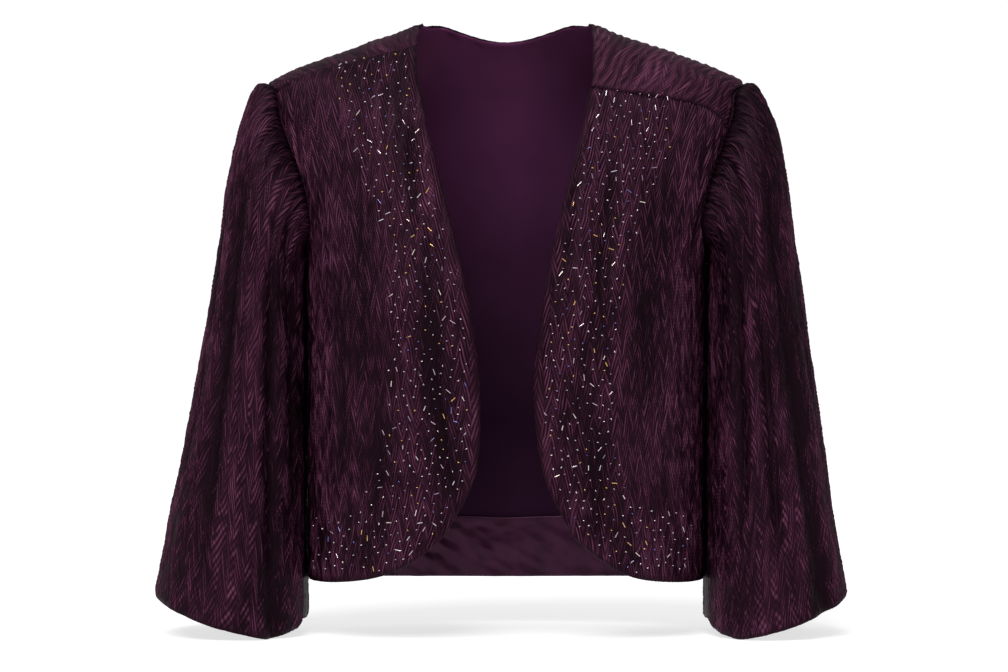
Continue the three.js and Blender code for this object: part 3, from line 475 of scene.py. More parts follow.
def pleats(s, t, pitch, band, lean, seed, one_way=0):
    """Height from 0 to 1 of the pleats at s across and t along the cloth.

    Where one_way is far above or below 0 they all lean the same way.
    """
    s = s + wave(s, t, WANDER_FAR, seed) + wave(s, t, WANDER_NEAR, seed + 1)
    side = np.sin(np.pi * (s / band + wave(s, t, BAND_DRIFT, seed + 2)))
    height, width, length = BAND_BREAK
    side = side + wave(s, t, (height, width * band, length * band), seed + 3)
    lean = np.radians(lean)

    def leaning(way, seed):
        """Pleats that all lean one way."""
        across = math.cos(lean) * s + way * math.sin(lean) * t
        phase = across / pitch + wave(s, t, PLEAT_DRIFT, seed)
        tall = CREST_HEIGHT + CREST_CHANGE * soft_noise(phase, t / CREST_LENGTH, seed + 1)
        return ripple(phase) ** CREST_POWER * tall

    side = side + one_way
    share = smooth(0.5 + BAND_SHARPNESS * side)
    height = leaning(1, seed + 4) * (1 - share) + leaning(-1, seed + 6) * share
    meeting = 1 - MEETING_DROP * bell(side, MEETING_WIDTH)
    return np.clip(height * meeting * (1 + wave(s, t, PATCHES, seed + 8)), 0, HIGHEST_PLEAT)


def broad_folds(s, t, pitch, seed):
    """Height from 0 to 1 of softer folds, wider than the pleats."""
    phase = s / pitch + wave(s, t, FOLD_DRIFT, seed)
    return ripple(phase) * (FOLD_HEIGHT + wave(s, t, FOLD_CHANGE, seed + 1))


sample = np.linspace(0, 60, 400)
print("mean height of the pleats", round(float(pleats(sample, 0 * sample, 2.5, 6.2, 15, 11).mean()), 2))

# %% [markdown]
# ## From points to cloth
# Cloth has two faces and a turned edge. The face that shows is a fine grid, the other one
# a coarser grid behind it, and the edge between them is rounded like a rolled hem.

# %% Grids and their edges
# The inner face has one square for this many of the outer one, each way
COARSE = 4
# The rounded edge: how far down the wall its two rings lie, and how far they bulge
RIM_SHARES, RIM_BULGE = (0.22, 0.62), 0.32
# The painted shade that the colour follows where the cloth has no pleats, halfway between dark and light
UNPLEATED_SHADE = 0.5


def numbered(here, first, tube):
    """Numbers of points from first on, and -1 where there is none. A tube's last column is its first."""
    index = np.full(here.shape, -1)
    index[here] = first + np.arange(here.sum())
    if tube:
        index[:, -1] = index[:, 0]
    return index


def cells_of(index):
    """True for each square of a grid whose four corners are there."""
    there = index >= 0
    return there[:-1, :-1] & there[1:, :-1] & there[:-1, 1:] & there[1:, 1:]


def quads(grid, keep):
    """The four corners of each square that is kept."""
    a, b = grid[:-1, :-1][keep], grid[:-1, 1:][keep]
    c, d = grid[1:, 1:][keep], grid[1:, :-1][keep]
    return np.stack([a, b, c, d], -1)


def open_sides(cells, tube):
    """For each side of a square, its two corners in turn, and which squares have a neighbour there."""
    padded = np.pad(cells, 1)
    if tube:
        padded[:, 0], padded[:, -1] = padded[:, -2], padded[:, 1]
    yield (0, 1), (0, 0), padded[:-2, 1:-1]
    yield (1, 0), (1, 1), padded[2:, 1:-1]
    yield (0, 0), (1, 0), padded[1:-1, :-2]
    yield (1, 1), (0, 1), padded[1:-1, 2:]


def ways_out(face, cells, tube):
    """The way each edge point faces out of the cloth, and the open sides as pairs of points."""
    out = np.zeros_like(face)
    sides = []
    for corner_a, corner_b, beyond in open_sides(cells, tube):
        squares = np.argwhere(cells & ~beyond)
        a, b = squares + corner_a, squares + corner_b
        for ends in (a, b):
            j, i = ends.T
            if corner_a[0] == corner_b[0]:
                inner = face[squares[:, 0] + 1 - corner_a[0], i]
            else:
                inner = face[j, squares[:, 1] + 1 - corner_a[1]]
            away = face[j, i] - inner
            out[j, i] += away / np.maximum(np.linalg.norm(away, axis=1, keepdims=True), 1e-6)
        sides.append((a, b))
    if tube:
        out[:, -1] = out[:, 0]
    edge = np.linalg.norm(out, axis=-1) > 0
    out[edge] /= np.linalg.norm(out[edge], axis=-1, keepdims=True)
    return out, edge, sides


def edge_fans(inner, ring, tube):
    """Triangles from the fine ring at the edge to the coarse points of the inner face."""
    cells = cells_of(inner)
    half = (COARSE + 1) // 2
    fans = []
    for corner_a, corner_b, beyond in open_sides(cells, tube):
        for square in np.argwhere(cells & ~beyond):
            start, end = square + corner_a, square + corner_b
            js, columns = np.linspace(start * COARSE, end * COARSE, COARSE + 1).astype(int).T
            chain = ring[js, columns]
            near, far = inner[tuple(start)], inner[tuple(end)]
            for m in range(COARSE):
                fans.append((chain[m], chain[m + 1], near if m < half else far))
            fans.append((chain[half], far, near))
    return fans


# %% Shells of cloth


def cloth_shell(name, face, behind, uv, painted_shade, roll, mask=None, tube=False):
    """A closed shell of cloth. face and behind are grids of points in millimetres.

    The grid given after uv is the painted shade and painted light that the colour follows, and roll is how
    round the edge is.
    """
    own = np.ones(face.shape[:2], bool) if mask is None else mask.copy()
    if tube:
        own[:, -1] = False
    index = numbered(own, 0, tube)
    cells = cells_of(index)
    out, edge, sides = ways_out(face, cells, tube)
    points, uvs, painted_shades = [face[own]], [uv[own]], [painted_shade[own]]
    count = own.sum()

    rings = []
    here = edge & own
    thick = np.linalg.norm(face - behind, axis=-1, keepdims=True)
    for share in RIM_SHARES:
        rings.append(numbered(here, count, tube))
        place = face * (1 - share) + behind * share + out * thick * RIM_BULGE * roll[..., None]
        points.append(place[here])
        uvs.append(uv[here])
        # The rims take a deeper painted shade where the edge is sewn flat than where it is rolled
        painted_shades.append((painted_shade * (0.5 + 0.5 * roll))[here])
        count += here.sum()

    coarse = own[::COARSE, ::COARSE]
    inner = numbered(coarse, count, tube)
    points.append(behind[::COARSE, ::COARSE][coarse])
    uvs.append(uv[::COARSE, ::COARSE][coarse])
    painted_shades.append(np.full(coarse.sum(), UNPLEATED_SHADE))

    rim_quads = []
    for a, b in sides:
        for upper, lower in zip([index] + rings, rings):
            upper_a, upper_b = upper[a[:, 0], a[:, 1]], upper[b[:, 0], b[:, 1]]
            lower_a, lower_b = lower[a[:, 0], a[:, 1]], lower[b[:, 0], b[:, 1]]
            rim_quads.append(np.stack([upper_a, upper_b, lower_b, lower_a], -1))
    inner_quads = quads(inner, cells_of(inner))[:, ::-1]
    fans = edge_fans(inner, rings[-1], tube)
    return finish_shell(name, points, uvs, painted_shades, quads(index, cells), inner_quads, rim_quads, fans)


def finish_shell(name, points, uvs, painted_shades, face_quads, inner_quads, rim_quads, fans):
    """Joins the faces into one closed mesh, facing outwards, with its maps."""
    points = np.concatenate(points)
    uvs = np.concatenate(uvs)
    painted_shades = np.concatenate(painted_shades)
    rim = np.concatenate(rim_quads)
    triangles = np.array(fans)
    four = np.concatenate([face_quads, rim, inner_quads])
    inside = [np.zeros(len(face_quads) + len(rim)), np.ones(len(inner_quads)), np.zeros(len(triangles))]
    split = np.concatenate([four[:, [0, 1, 2]], four[:, [0, 2, 3]], triangles])
    a, b, c = (points[split[:, k]] for k in range(3))
    if np.einsum("ij,ij->i", a, np.cross(b, c)).sum() < 0:
        four, triangles = four[:, ::-1], triangles[:, ::-1]
    corners = np.concatenate([four.ravel(), triangles.ravel()])
    sizes = np.concatenate([np.full(len(four), 4), np.full(len(triangles), 3)])
    starts = np.concatenate([[0], np.cumsum(sizes)[:-1]])

    mesh = bpy.data.meshes.new(name)
    mesh.vertices.add(len(points))
    mesh.vertices.foreach_set("co", (points * MM).ravel())
    mesh.loops.add(len(corners))
    mesh.loops.foreach_set("vertex_index", corners)
    mesh.polygons.add(len(sizes))
    mesh.polygons.foreach_set("loop_start", starts)
    mesh.polygons.foreach_set("material_index", np.concatenate(inside).astype(int))
    mesh.polygons.foreach_set("use_smooth", np.ones(len(sizes), bool))
    mesh.update(calc_edges=True)
    layer = mesh.uv_layers.new(name="cloth")
    layer.data.foreach_set("uv", (uvs * MM)[corners].ravel())
    # Painted shade and light on each point, for the colour to follow
    attribute = mesh.attributes.new("painted_shade", "FLOAT", "POINT")
    attribute.data.foreach_set("value", painted_shades)
    problems = mesh.validate(verbose=False)
    made = new_object(name, mesh)
    print(name, len(points), "points", len(split), "triangles", "mended" if problems else "")
    return made


def with_finish(made, outside, inside):
    """Gives a shell the finishes of its outer and its inner face."""
    made.data.materials.append(outside)
    made.data.materials.append(inside)
    return made


def lengths_along(grid, axis):
    """How far each point of a grid lies from the first one, along its row or column."""
    steps = np.linalg.norm(np.diff(grid, axis=axis), axis=-1)
    total = np.cumsum(np.nan_to_num(steps), axis=axis)
    pad = [(0, 0), (0, 0)]
    pad[axis] = (1, 0)
    return np.pad(total, pad)


# %% [markdown]
# ## Tools for the finishes
# Threads and slow patches of tone come from noise that is drawn out along the cloth's own
# map. A picture of cloth could do the same, but noise has no seam and no size limit.

# %% Noise, ramps and bumps


def nodes_of(name):
    material = bpy.data.materials.new(name)
    material.use_nodes = True
    tree = material.node_tree
    return material, tree, tree.nodes["Principled BSDF"]


def streaks(tree, across, along, detail):
    """Noise drawn out along the cloth: across and along are its grain in metres."""
    place = tree.nodes.new("ShaderNodeUVMap")
    place.uv_map = "cloth"
    mapping = tree.nodes.new("ShaderNodeMapping")
    mapping.inputs["Scale"].default_value = (1 / across, 1 / along, 1)
    noise = tree.nodes.new("ShaderNodeTexNoise")
    noise.inputs["Scale"].default_value = 1
    noise.inputs["Detail"].default_value = detail
    tree.links.new(place.outputs["UV"], mapping.inputs["Vector"])
    tree.links.new(mapping.outputs["Vector"], noise.inputs["Vector"])
    return noise.outputs["Fac"]


def ramp(tree, factor, stops):
    """Colours at places from 0 to 1 of the factor."""
    node = tree.nodes.new("ShaderNodeValToRGB")
    while len(node.color_ramp.elements) < len(stops):
        node.color_ramp.elements.new(0.5)
    for element, (place, colour) in zip(node.color_ramp.elements, stops):
        element.position = place
        element.color = (*colour, 1)
    tree.links.new(factor, node.inputs["Fac"])
    return node.outputs["Color"]


def mixed(tree, kind, amount, a, b):
    node = tree.nodes.new("ShaderNodeMix")
    node.data_type = "RGBA"
    node.blend_type = kind
    node.inputs[0].default_value = amount
    tree.links.new(a, node.inputs[6])
    tree.links.new(b, node.inputs[7])
    return node.outputs[2]


def bumps(tree, shader, layers):
    """Bump layers, each a height and how deep it is in metres."""
    normal = None
    for height, depth in layers:
        node = tree.nodes.new("ShaderNodeBump")
        node.inputs["Strength"].default_value = 1
        node.inputs["Distance"].default_value = depth
        tree.links.new(height, node.inputs["Height"])
        if normal is not None:
            tree.links.new(normal, node.inputs["Normal"])
        normal = node.outputs["Normal"]
    tree.links.new(normal, shader.inputs["Normal"])


# %% [markdown]
# ## Plum pleated cloth
# The pleated cloth is dull plum satin. Its colour follows painted shade and painted light kept
# on the mesh: painted shade in the pleats' hollows, creases, folds and beside the arms, painted
# light on the crests and over the shoulders. Slow patches of noise vary its tone. Fine streaks
# run along the pleats in the bump, on the cloth's own map.

# %% Pleated cloth


def pleated_cloth():
    material, tree, shader = nodes_of("plum_pleated_cloth")
    # The painted shade and light on the mesh: near black in the pleats' hollows, lighter on the crests
    height = tree.nodes.new("ShaderNodeAttribute")
    height.attribute_name = "painted_shade"
    by_painted_shade = ramp(tree, height.outputs["Fac"], [
        (0.0, (0.0022, 0.0005, 0.0013)), (0.26, (0.0120, 0.0028, 0.0072)),
        (0.62, (0.0500, 0.0133, 0.0293)), (0.95, (0.1060, 0.0345, 0.0660)),
    ])
    patches = ramp(tree, streaks(tree, 0.03, 0.07, 3), [(0.3, (0.80, 0.76, 0.82)), (0.7, (1, 1, 1))])
    threads = ramp(tree, streaks(tree, 0.0009, 0.012, 2), [(0.3, (0.66, 0.62, 0.66)), (0.72, (1, 1, 1))])
    colour = mixed(tree, "MULTIPLY", 1, mixed(tree, "MULTIPLY", 1, by_painted_shade, patches), threads)
    tree.links.new(colour, shader.inputs["Base Color"])
    rough = ramp(tree, streaks(tree, 0.002, 0.02, 2), [(0.3, (0.46, 0.46, 0.46)), (0.7, (0.6, 0.6, 0.6))])
    tree.links.new(rough, shader.inputs["Roughness"])
    shader.inputs["Specular IOR Level"].default_value = 0.14
    shader.inputs["Specular Tint"].default_value = (0.80, 0.36, 0.58, 1)
    drawn_threads, weave = streaks(tree, 0.0011, 0.016, 2), streaks(tree, 0.0004, 0.0007, 1)
    bumps(tree, shader, [(drawn_threads, 0.00035), (weave, 0.00005)])
    return material


# %% [markdown]
# ## Violet lining
# The lining is smooth, thin and lighter than the cloth. Inside the jacket it lies in shade,
# deeper towards the hem and towards the wearer's left. The studio's soft light doesn't make
# that shade deep enough, so the colour follows the height and the side as well.

# %% Lining
SHADE_Z, SHADE_X = (-0.45, 0), (0.01, 0.10)


def smooth_lining():
    material, tree, shader = nodes_of("violet_lining")
    colour = ramp(tree, streaks(tree, 0.05, 0.05, 2), [
        (0.3, (0.086, 0.0202, 0.0670)), (0.7, (0.101, 0.0245, 0.0790)),
    ])
    place = tree.nodes.new("ShaderNodeTexCoord")
    axes = tree.nodes.new("ShaderNodeSeparateXYZ")
    tree.links.new(place.outputs["Object"], axes.inputs["Vector"])

    def share_of(axis, limits):
        node = tree.nodes.new("ShaderNodeMapRange")
        node.inputs["From Min"].default_value, node.inputs["From Max"].default_value = limits
        tree.links.new(axes.outputs[axis], node.inputs["Value"])
        return node.outputs["Result"]

    deeper = ramp(tree, share_of("Z", SHADE_Z), [
        (0.0, (0.20, 0.23, 0.23)), (0.22, (0.11, 0.12, 0.12)), (0.55, (0.27, 0.29, 0.29)),
        (0.85, (0.74, 0.74, 0.74)), (1.0, (1.2, 1.2, 1.1)),
    ])
    sideways = ramp(tree, share_of("X", SHADE_X), [(0.0, (1, 1, 1)), (1.0, (0.52, 0.56, 0.56))])
    deep = mixed(tree, "MULTIPLY", 1, deeper, sideways)
    tree.links.new(mixed(tree, "MULTIPLY", 1, colour, deep), shader.inputs["Base Color"])
    shader.inputs["Roughness"].default_value = 0.62
    shader.inputs["Specular IOR Level"].default_value = 0.06
    shader.inputs["Specular Tint"].default_value = (0.75, 0.40, 0.68, 1)
    bumps(tree, shader, [(streaks(tree, 0.00045, 0.00045, 1), 0.00004)])
    return material


# %% [markdown]
# ## Satin of the hem facing
# The facing is a darker, shinier satin. Its threads run one way, so its shine is drawn out
# along the strip.

# %% Satin


def satin():
    material, tree, shader = nodes_of("plum_satin")
    colour = ramp(tree, streaks(tree, 0.02, 0.03, 2), [
        (0.3, (0.006, 0.0010, 0.0038)), (0.7, (0.022, 0.0038, 0.0137)),
    ])
    tree.links.new(colour, shader.inputs["Base Color"])
    shader.inputs["Roughness"].default_value = 0.5
    shader.inputs["Specular IOR Level"].default_value = 0.5
    shader.inputs["Specular Tint"].default_value = (0.80, 0.34, 0.62, 1)
    shader.inputs["Anisotropic"].default_value = 0.4
    soft_dents, weave = streaks(tree, 0.008, 0.02, 3), streaks(tree, 0.0004, 0.0009, 1)
    bumps(tree, shader, [(soft_dents, 0.0006), (weave, 0.00004)])
    return material


CLOTH, LINING, SATIN = pleated_cloth(), smooth_lining(), satin()
print("materials:", [material.name for material in (CLOTH, LINING, SATIN)])

# %% [markdown]
# ## Relief of the body panels
# Three sizes of relief lie on the body: long soft creases where the cloth hangs from the
# shoulder, the pleats, and a turn-down along every seam and edge where two layers are sewn.

# %% Relief of the body
PLEAT_HEIGHT = 1.35
# Where arm and body rest on each other the pleats are pressed down to this share
PRESSED = 0.3
# How far that reaches forward and back, its full part in the middle, and its start below the arm
PRESSED_REACH, PRESSED_CORE, PRESSED_FADE = 16, 4, 30
# The painted shade beside the arm: how dark, how wide, how far above the armhole's corner it starts, its
# fade
SIDE_SHADE, SIDE_SHADE_WIDTH, SIDE_SHADE_RISE, SIDE_SHADE_FADE = 0.42, 4.5, 10, 40
# How much of the way back counts as width round the sides, and how far off the centre in full
SIDE_SPACING, SIDE_START = 0.6, 60

# face, x and z at the top, x and z at the end, depth, half width
BODY_CREASES = [
    ("front", -92, -45, -80, -150, 2.4, 9), ("front", -70, -190, -52, -410, 3, 11),
    ("front", -128, -120, -118, -330, 2.2, 12), ("front", -108, -300, -112, -470, 2.4, 10),
    ("front", 96, -110, 72, -290, 2.6, 10), ("front", 132, -130, 112, -350, 2.2, 12),
    ("front", 62, -300, 84, -455, 2.8, 11), ("back", -104, -120, -92, -400, 3, 16),
    ("back", 98, -110, 104, -420, 3.2, 17), ("back", -34, -230, -40, -480, 2.4, 18),
    ("back", 46, -260, 38, -480, 2.2, 16),
    ("front", -66, -285, -43, -425, 2.6, 5), ("front", -84, -95, -78, -200, 1.8, 6),
    ("front", -140, -215, -134, -400, 1.6, 7), ("front", 84, -330, 76, -450, 1.8, 6),
    ("front", 118, -210, 124, -330, 1.6, 7), ("front", 62, -130, 50, -230, 1.6, 5),
]
CREASE_FADE_POWER = 0.7
# The cloth sinks a little over the shoulder, and more at the neck points, which are rounded off
SHOULDER_SINK = 0.8
SHOULDER_START_Z, SHOULDER_RISE = -105, 60
NECK_POINT_X, NECK_POINT_SINK, NECK_POINT_REACH = NECK_HALF_WIDTH + 1, 2.6, 9


def shoulder_share(z):
    """0 on the body, 1 on the shoulder."""
    return smooth((z - SHOULDER_START_Z) / SHOULDER_RISE)


def crease_depth(points):
    """How far the cloth sinks in its long soft creases, as a number below 0."""
    x, y, z = points[..., 0], points[..., 1], points[..., 2]
    from_neck_point = np.hypot(np.abs(x) - NECK_POINT_X, z)
    depth = -SHOULDER_SINK * shoulder_share(z)
    depth -= NECK_POINT_SINK * bell(from_neck_point, NECK_POINT_REACH)
    for face, top_x, top_z, end_x, end_z, deep, width in BODY_CREASES:
        t = np.clip((top_z - z) / (top_z - end_z), 0, 1)
        offset = x - (top_x + (end_x - top_x) * t)
        here = (y < CENTRE_Y) if face == "front" else (y >= CENTRE_Y)
        depth -= here * deep * bell(offset, width) * np.sin(np.pi * t) ** CREASE_FADE_POWER
    return depth


def across_body(points):
    """How far round the body a point lies, measured so that its lines hang straight down."""
    x, y, z = points[..., 0], points[..., 1], points[..., 2]
    depth = np.where(y < CENTRE_Y, front_depth_at(z), back_depth_at(z))
    turned_away = np.clip(depth - np.abs(y - CENTRE_Y), 0, None)
    return np.sign(x) * (np.abs(x) + SIDE_SPACING * turned_away * smooth(np.abs(x) / SIDE_START))


def body_press(points):
    """How much of their height the pleats keep: less beside the arm, full in front and behind."""
    beside = 1 - smooth((np.abs(points[..., 1] - CENTRE_Y) - PRESSED_CORE) / PRESSED_REACH)
    low = smooth((ARMHOLE_CORNER_Z - points[..., 2]) / PRESSED_FADE)
    return 1 - (1 - PRESSED) * beside * low


def side_shade(points):
    """Painted shade on the cloth where it turns away beside the arm."""
    x, z = np.abs(points[..., 0]), points[..., 2]
    low = smooth((ARMHOLE_CORNER_Z + SIDE_SHADE_RISE - z) / SIDE_SHADE_FADE)
    return SIDE_SHADE * bell(half_width_at(z) - x, SIDE_SHADE_WIDTH) * low


def edge_turn(distance, depth, reach):
    """The fall of the cloth into a seam or over an edge."""
    return -depth * bell(distance, reach)


print("deepest crease over the left front", round(float(crease_depth(body_point(40, -330))), 2), "mm")

# %% [markdown]
# ## Front panels
# Each front runs from the shoulder seam to the hem, with a rounded corner. It is sewn into
# the armhole and the side seam, so its outline has a step under the arm.

# %% Fronts
FRONT_COLUMNS, FRONT_UNDERARM = 344, 64
FRONT_ARMHOLE_ROWS, FRONT_SIDE_ROWS = 56, 108
FRONT_EDGE_SHARE = 0.36
# pitch of the pleats, width of their bands, lean in degrees, seed
FRONT_PLEATS = {"right": (2.5, 6.2, 15, 11), "left": (2.5, 6.2, 15, 41)}
# height, width and length of the slow waves in the cloth, and how near an edge they fade
FRONT_WAVES, FRONT_WAVE_SEED, WAVE_FADE = [(0.8, 13, 42), (0.45, 7, 22)], 71, 6
# depth and reach of the turn-down at a seam, at the armhole and side, and at the rolled edges
SEAM_DEPTH, SEAM_REACH = 0.5, 1.1
ARMHOLE_DEPTH, SIDE_DEPTH, SIDE_REACH = 0.4, 0.9, 1.3
ROLL_DEPTH, ROLL_REACH = 0.9, 1.0
# the line of hidden stitches beside a rolled edge: depth, distance from the edge, half width
STITCH_DEPTH, STITCH_PLACE, STITCH_WIDTH = 0.35, 7, 1.0
# the pleats are calmer by the sewn edges: the share that stays there, and the way to full height
CALM_SHARE, FRONT_CALM_REACH = 0.4, 5
# how much the slow waves and the creases count in the painted shade of the fronts
FRONT_WAVE_SHADE, FRONT_CREASE_SHADE = 0.16, 0.14
# an edge point lies within this of the edge; how round the rolled and the sewn edges are
AT_EDGE, ROLLED, SEWN = 0.01, 1.0, 0.1


def side_seam(side, face, top_z, end_z, rows):
    z = top_z + (end_z - top_z) * even(rows)
    y = CENTRE_Y + (-1 if face == "front" else 1) * SEAM_GAP / 2
    return np.stack([SIDES[side] * half_width_at(z), np.full(rows + 1, y), z], -1)


def underarm_column(side, face, hem_z, shares):
    """The line from the armhole's corner to the hem where the part under the arm joins on."""
    angle = on_side(side, float(armhole_angle[face](ARMHOLE_CORNER_Z)))
    return body_point(angle, ARMHOLE_CORNER_Z + (hem_z - ARMHOLE_CORNER_Z) * shares)


def with_missing(rows, count, before=False):
    """Adds columns with no cloth in them."""
    missing = np.full((rows.shape[0], count, 3), np.nan)
    return np.concatenate([missing, rows] if before else [rows, missing], 1)


def front_grid(side):
    """Rows run down from the shoulder seam, columns from the open edge to the side seam."""
    yoke = yoke_seam_curve(side)
    open_edge = split_at(front_edge_curve(side), yoke[0])[1]
    hem_rows = [(on_side(side, angle_at(x, z, "front")), z) for x, z in FRONT_HEM[side]]
    hem = curve_on_body(hem_rows + [(on_side(side, 90), FRONT_HEM_Z)])
    column = underarm_column(side, "front", FRONT_HEM_Z, even(FRONT_SIDE_ROWS))
    hem_in_front, hem_at_side = split_at(hem, column[-1])
    below_shares = FRONT_EDGE_SHARE + (1 - FRONT_EDGE_SHARE) * even(FRONT_SIDE_ROWS)[1:]
    edge_shares = np.concatenate([even(FRONT_ARMHOLE_ROWS) * FRONT_EDGE_SHARE, below_shares])
    start = resample(open_edge, edge_shares)
    armhole = armhole_curve(side, "front", YOKE_ARMHOLE_Z[side], ARMHOLE_CORNER_Z)
    end = np.vstack([resample(armhole, even(FRONT_ARMHOLE_ROWS)), column[1:]])
    top = off_seam(resample(yoke, even(FRONT_COLUMNS)), -SEAM_GAP / 2)
    start[0], end[0] = top[0], top[-1]
    main = patch_between(top, resample(hem_in_front, even(FRONT_COLUMNS)), start, end)
    seam_side = side_seam(side, "front", UNDERARM_Z, FRONT_HEM_Z, FRONT_SIDE_ROWS)
    corner = armhole_curve(side, "front", ARMHOLE_CORNER_Z, UNDERARM_Z)
    underarm = resample(corner, even(FRONT_UNDERARM))
    side_hem = resample(hem_at_side, even(FRONT_UNDERARM))
    underarm[-1], side_hem[-1] = seam_side[0], seam_side[-1]
    below = patch_between(underarm, side_hem, column, seam_side)
    upper = with_missing(main[:FRONT_ARMHOLE_ROWS], FRONT_UNDERARM)
    lower = np.concatenate([main[FRONT_ARMHOLE_ROWS:], below[:, 1:]], 1)
    return np.concatenate([upper, lower])


def distance_fields(grid, mask):
    """Distances in the cloth from each end of every row and column of a masked grid."""
    fields = []
    for axis in (0, 1):
        run = lengths_along(np.where(mask[..., None], grid, np.nan), axis)
        low = np.where(mask, run, np.inf).min(axis=axis, keepdims=True)
        high = np.where(mask, run, -np.inf).max(axis=axis, keepdims=True)
        fields += [run - low, high - run]
    return fields


def make_front(side):
    grid = front_grid(side)
    mask = ~np.isnan(grid[..., 0])
    safe = np.where(mask[..., None], grid, grid[-1, -1])
    normal = body_normal(safe)
    from_seam, from_hem, from_open, from_side = distance_fields(safe, mask)
    from_roll = np.minimum(from_open, from_hem)
    s = across_body(safe)
    t = -safe[..., 2]
    relief = pleats(s, t, *FRONT_PLEATS[side])
    crease = crease_depth(safe)
    calm = (1 - CALM_SHARE) * smooth(from_open / FRONT_CALM_REACH) * smooth(from_hem / FRONT_CALM_REACH)
    calm += CALM_SHARE
    press = body_press(safe)
    at_armhole = np.arange(len(safe))[:, None] < FRONT_ARMHOLE_ROWS
    side_depth = np.where(at_armhole, ARMHOLE_DEPTH, SIDE_DEPTH)
    seams = edge_turn(from_seam, SEAM_DEPTH, SEAM_REACH) + edge_turn(from_side, side_depth, SIDE_REACH)
    rolls = edge_turn(from_roll, ROLL_DEPTH, ROLL_REACH)
    stitches = edge_turn(from_roll - STITCH_PLACE, STITCH_DEPTH, STITCH_WIDTH)
    slow = waves(s, t, FRONT_WAVES, FRONT_WAVE_SEED)
    slow *= smooth(np.minimum(np.minimum(from_seam, from_side), from_roll) / WAVE_FADE)
    height = crease + (slow + PLEAT_HEIGHT * relief * calm) * press + seams + rolls + stitches
    # Painted shade and light for the colour: darker in the pleats' hollows, the waves' troughs, the creases
    # and beside the arm, lighter on the crests
    shade = relief * calm + FRONT_WAVE_SHADE * slow + FRONT_CREASE_SHADE * crease - side_shade(safe)
    face = safe + normal * height[..., None]
    behind = safe + normal * (crease - WALL)[..., None]
    roll = np.where(from_roll < AT_EDGE, ROLLED, SEWN)
    made = cloth_shell("front_cloth_" + side, face, behind, np.stack([s, t], -1), shade, roll, mask)
    return with_finish(made, CLOTH, LINING), face, normal


fronts = {side: make_front(side) for side in SIDES}

# %% [markdown]
# ## Back with its shoulder strips
# The back is cut in one with two strips that come forward over the shoulders. Under the
# arms it has the same step as the fronts. Its pleats hang straight, and turn a little
# outwards where they come over the shoulder.

# %% Back
UNDERARM, SHOULDER, NECK = 44, 172, 120
BACK_SIDE_ROWS, BACK_ARMHOLE_ROWS = 84, 60
STRIP_ROWS = {"right": 16, "left": 36}
NECK_STATIONS = np.linspace(-1, 1, 11)
# The hem facing's top at the side, and on the centre back the hem, that top and the armhole's corner
FACING_TOP = 0.165
MIDDLE_HEIGHTS = (0, 0.11, 0.5)
# pitch of the pleats, width of their bands, lean in degrees, seed
BACK_PLEATS = (2.8, 7.0, 16, 21)
BACK_WAVES, BACK_WAVE_SEED = [(0.7, 15, 48)], 73
# On the shoulder strips the pleats turn outwards and lean one way, over this length
STRIP_LEAN, STRIP_ONE_WAY, STRIP_REACH = 0.38, 0.9, 8
# pitch and seed of the softer folds over the shoulders, and their share on the wearer's right
SHOULDER_FOLDS, RIGHT_SHARE = (9.0, 31), 0.55
# over the shoulder: how much lower the pleats are, how much less they count in the painted
# shade, how much the softer folds count in it, and how much painted light brightens the cloth
SHOULDER_CALM, SHOULDER_DULL, FOLD_SHADE, SHOULDER_LIGHT = 0.5, 0.2, 0.4, 0.14
BACK_CALM_REACH = 4
# how much the slow waves and the creases count in the painted shade of the back
BACK_WAVE_SHADE, BACK_CREASE_SHADE = 0.14, 0.1
# how round the back's edges are, apart from its rolled hem
BACK_ROLL = 0.25


def back_neck_curve():
    """The neck edge behind, from one neck point to the other."""
    rows = []
    for station in NECK_STATIONS:
        z = -BACK_NECK_DROP / 2 * (1 + math.cos(math.pi * station))
        angle = angle_at(station * NECK_HALF_WIDTH, z, "back")
        rows.append((angle if station < 0 else 360 - angle, z))
    return curve_on_body([(90, NECK_POINT_Z)] + rows + [(270, NECK_POINT_Z)])


def shoulder_ridge(side):
    """The line along the top of a shoulder, from its tip to the neck."""
    heights = SHOULDER_TIP_Z + (NECK_POINT_Z - SHOULDER_TIP_Z) * even(CURVE_STEPS)
    return body_point(on_side(side, 90), heights)


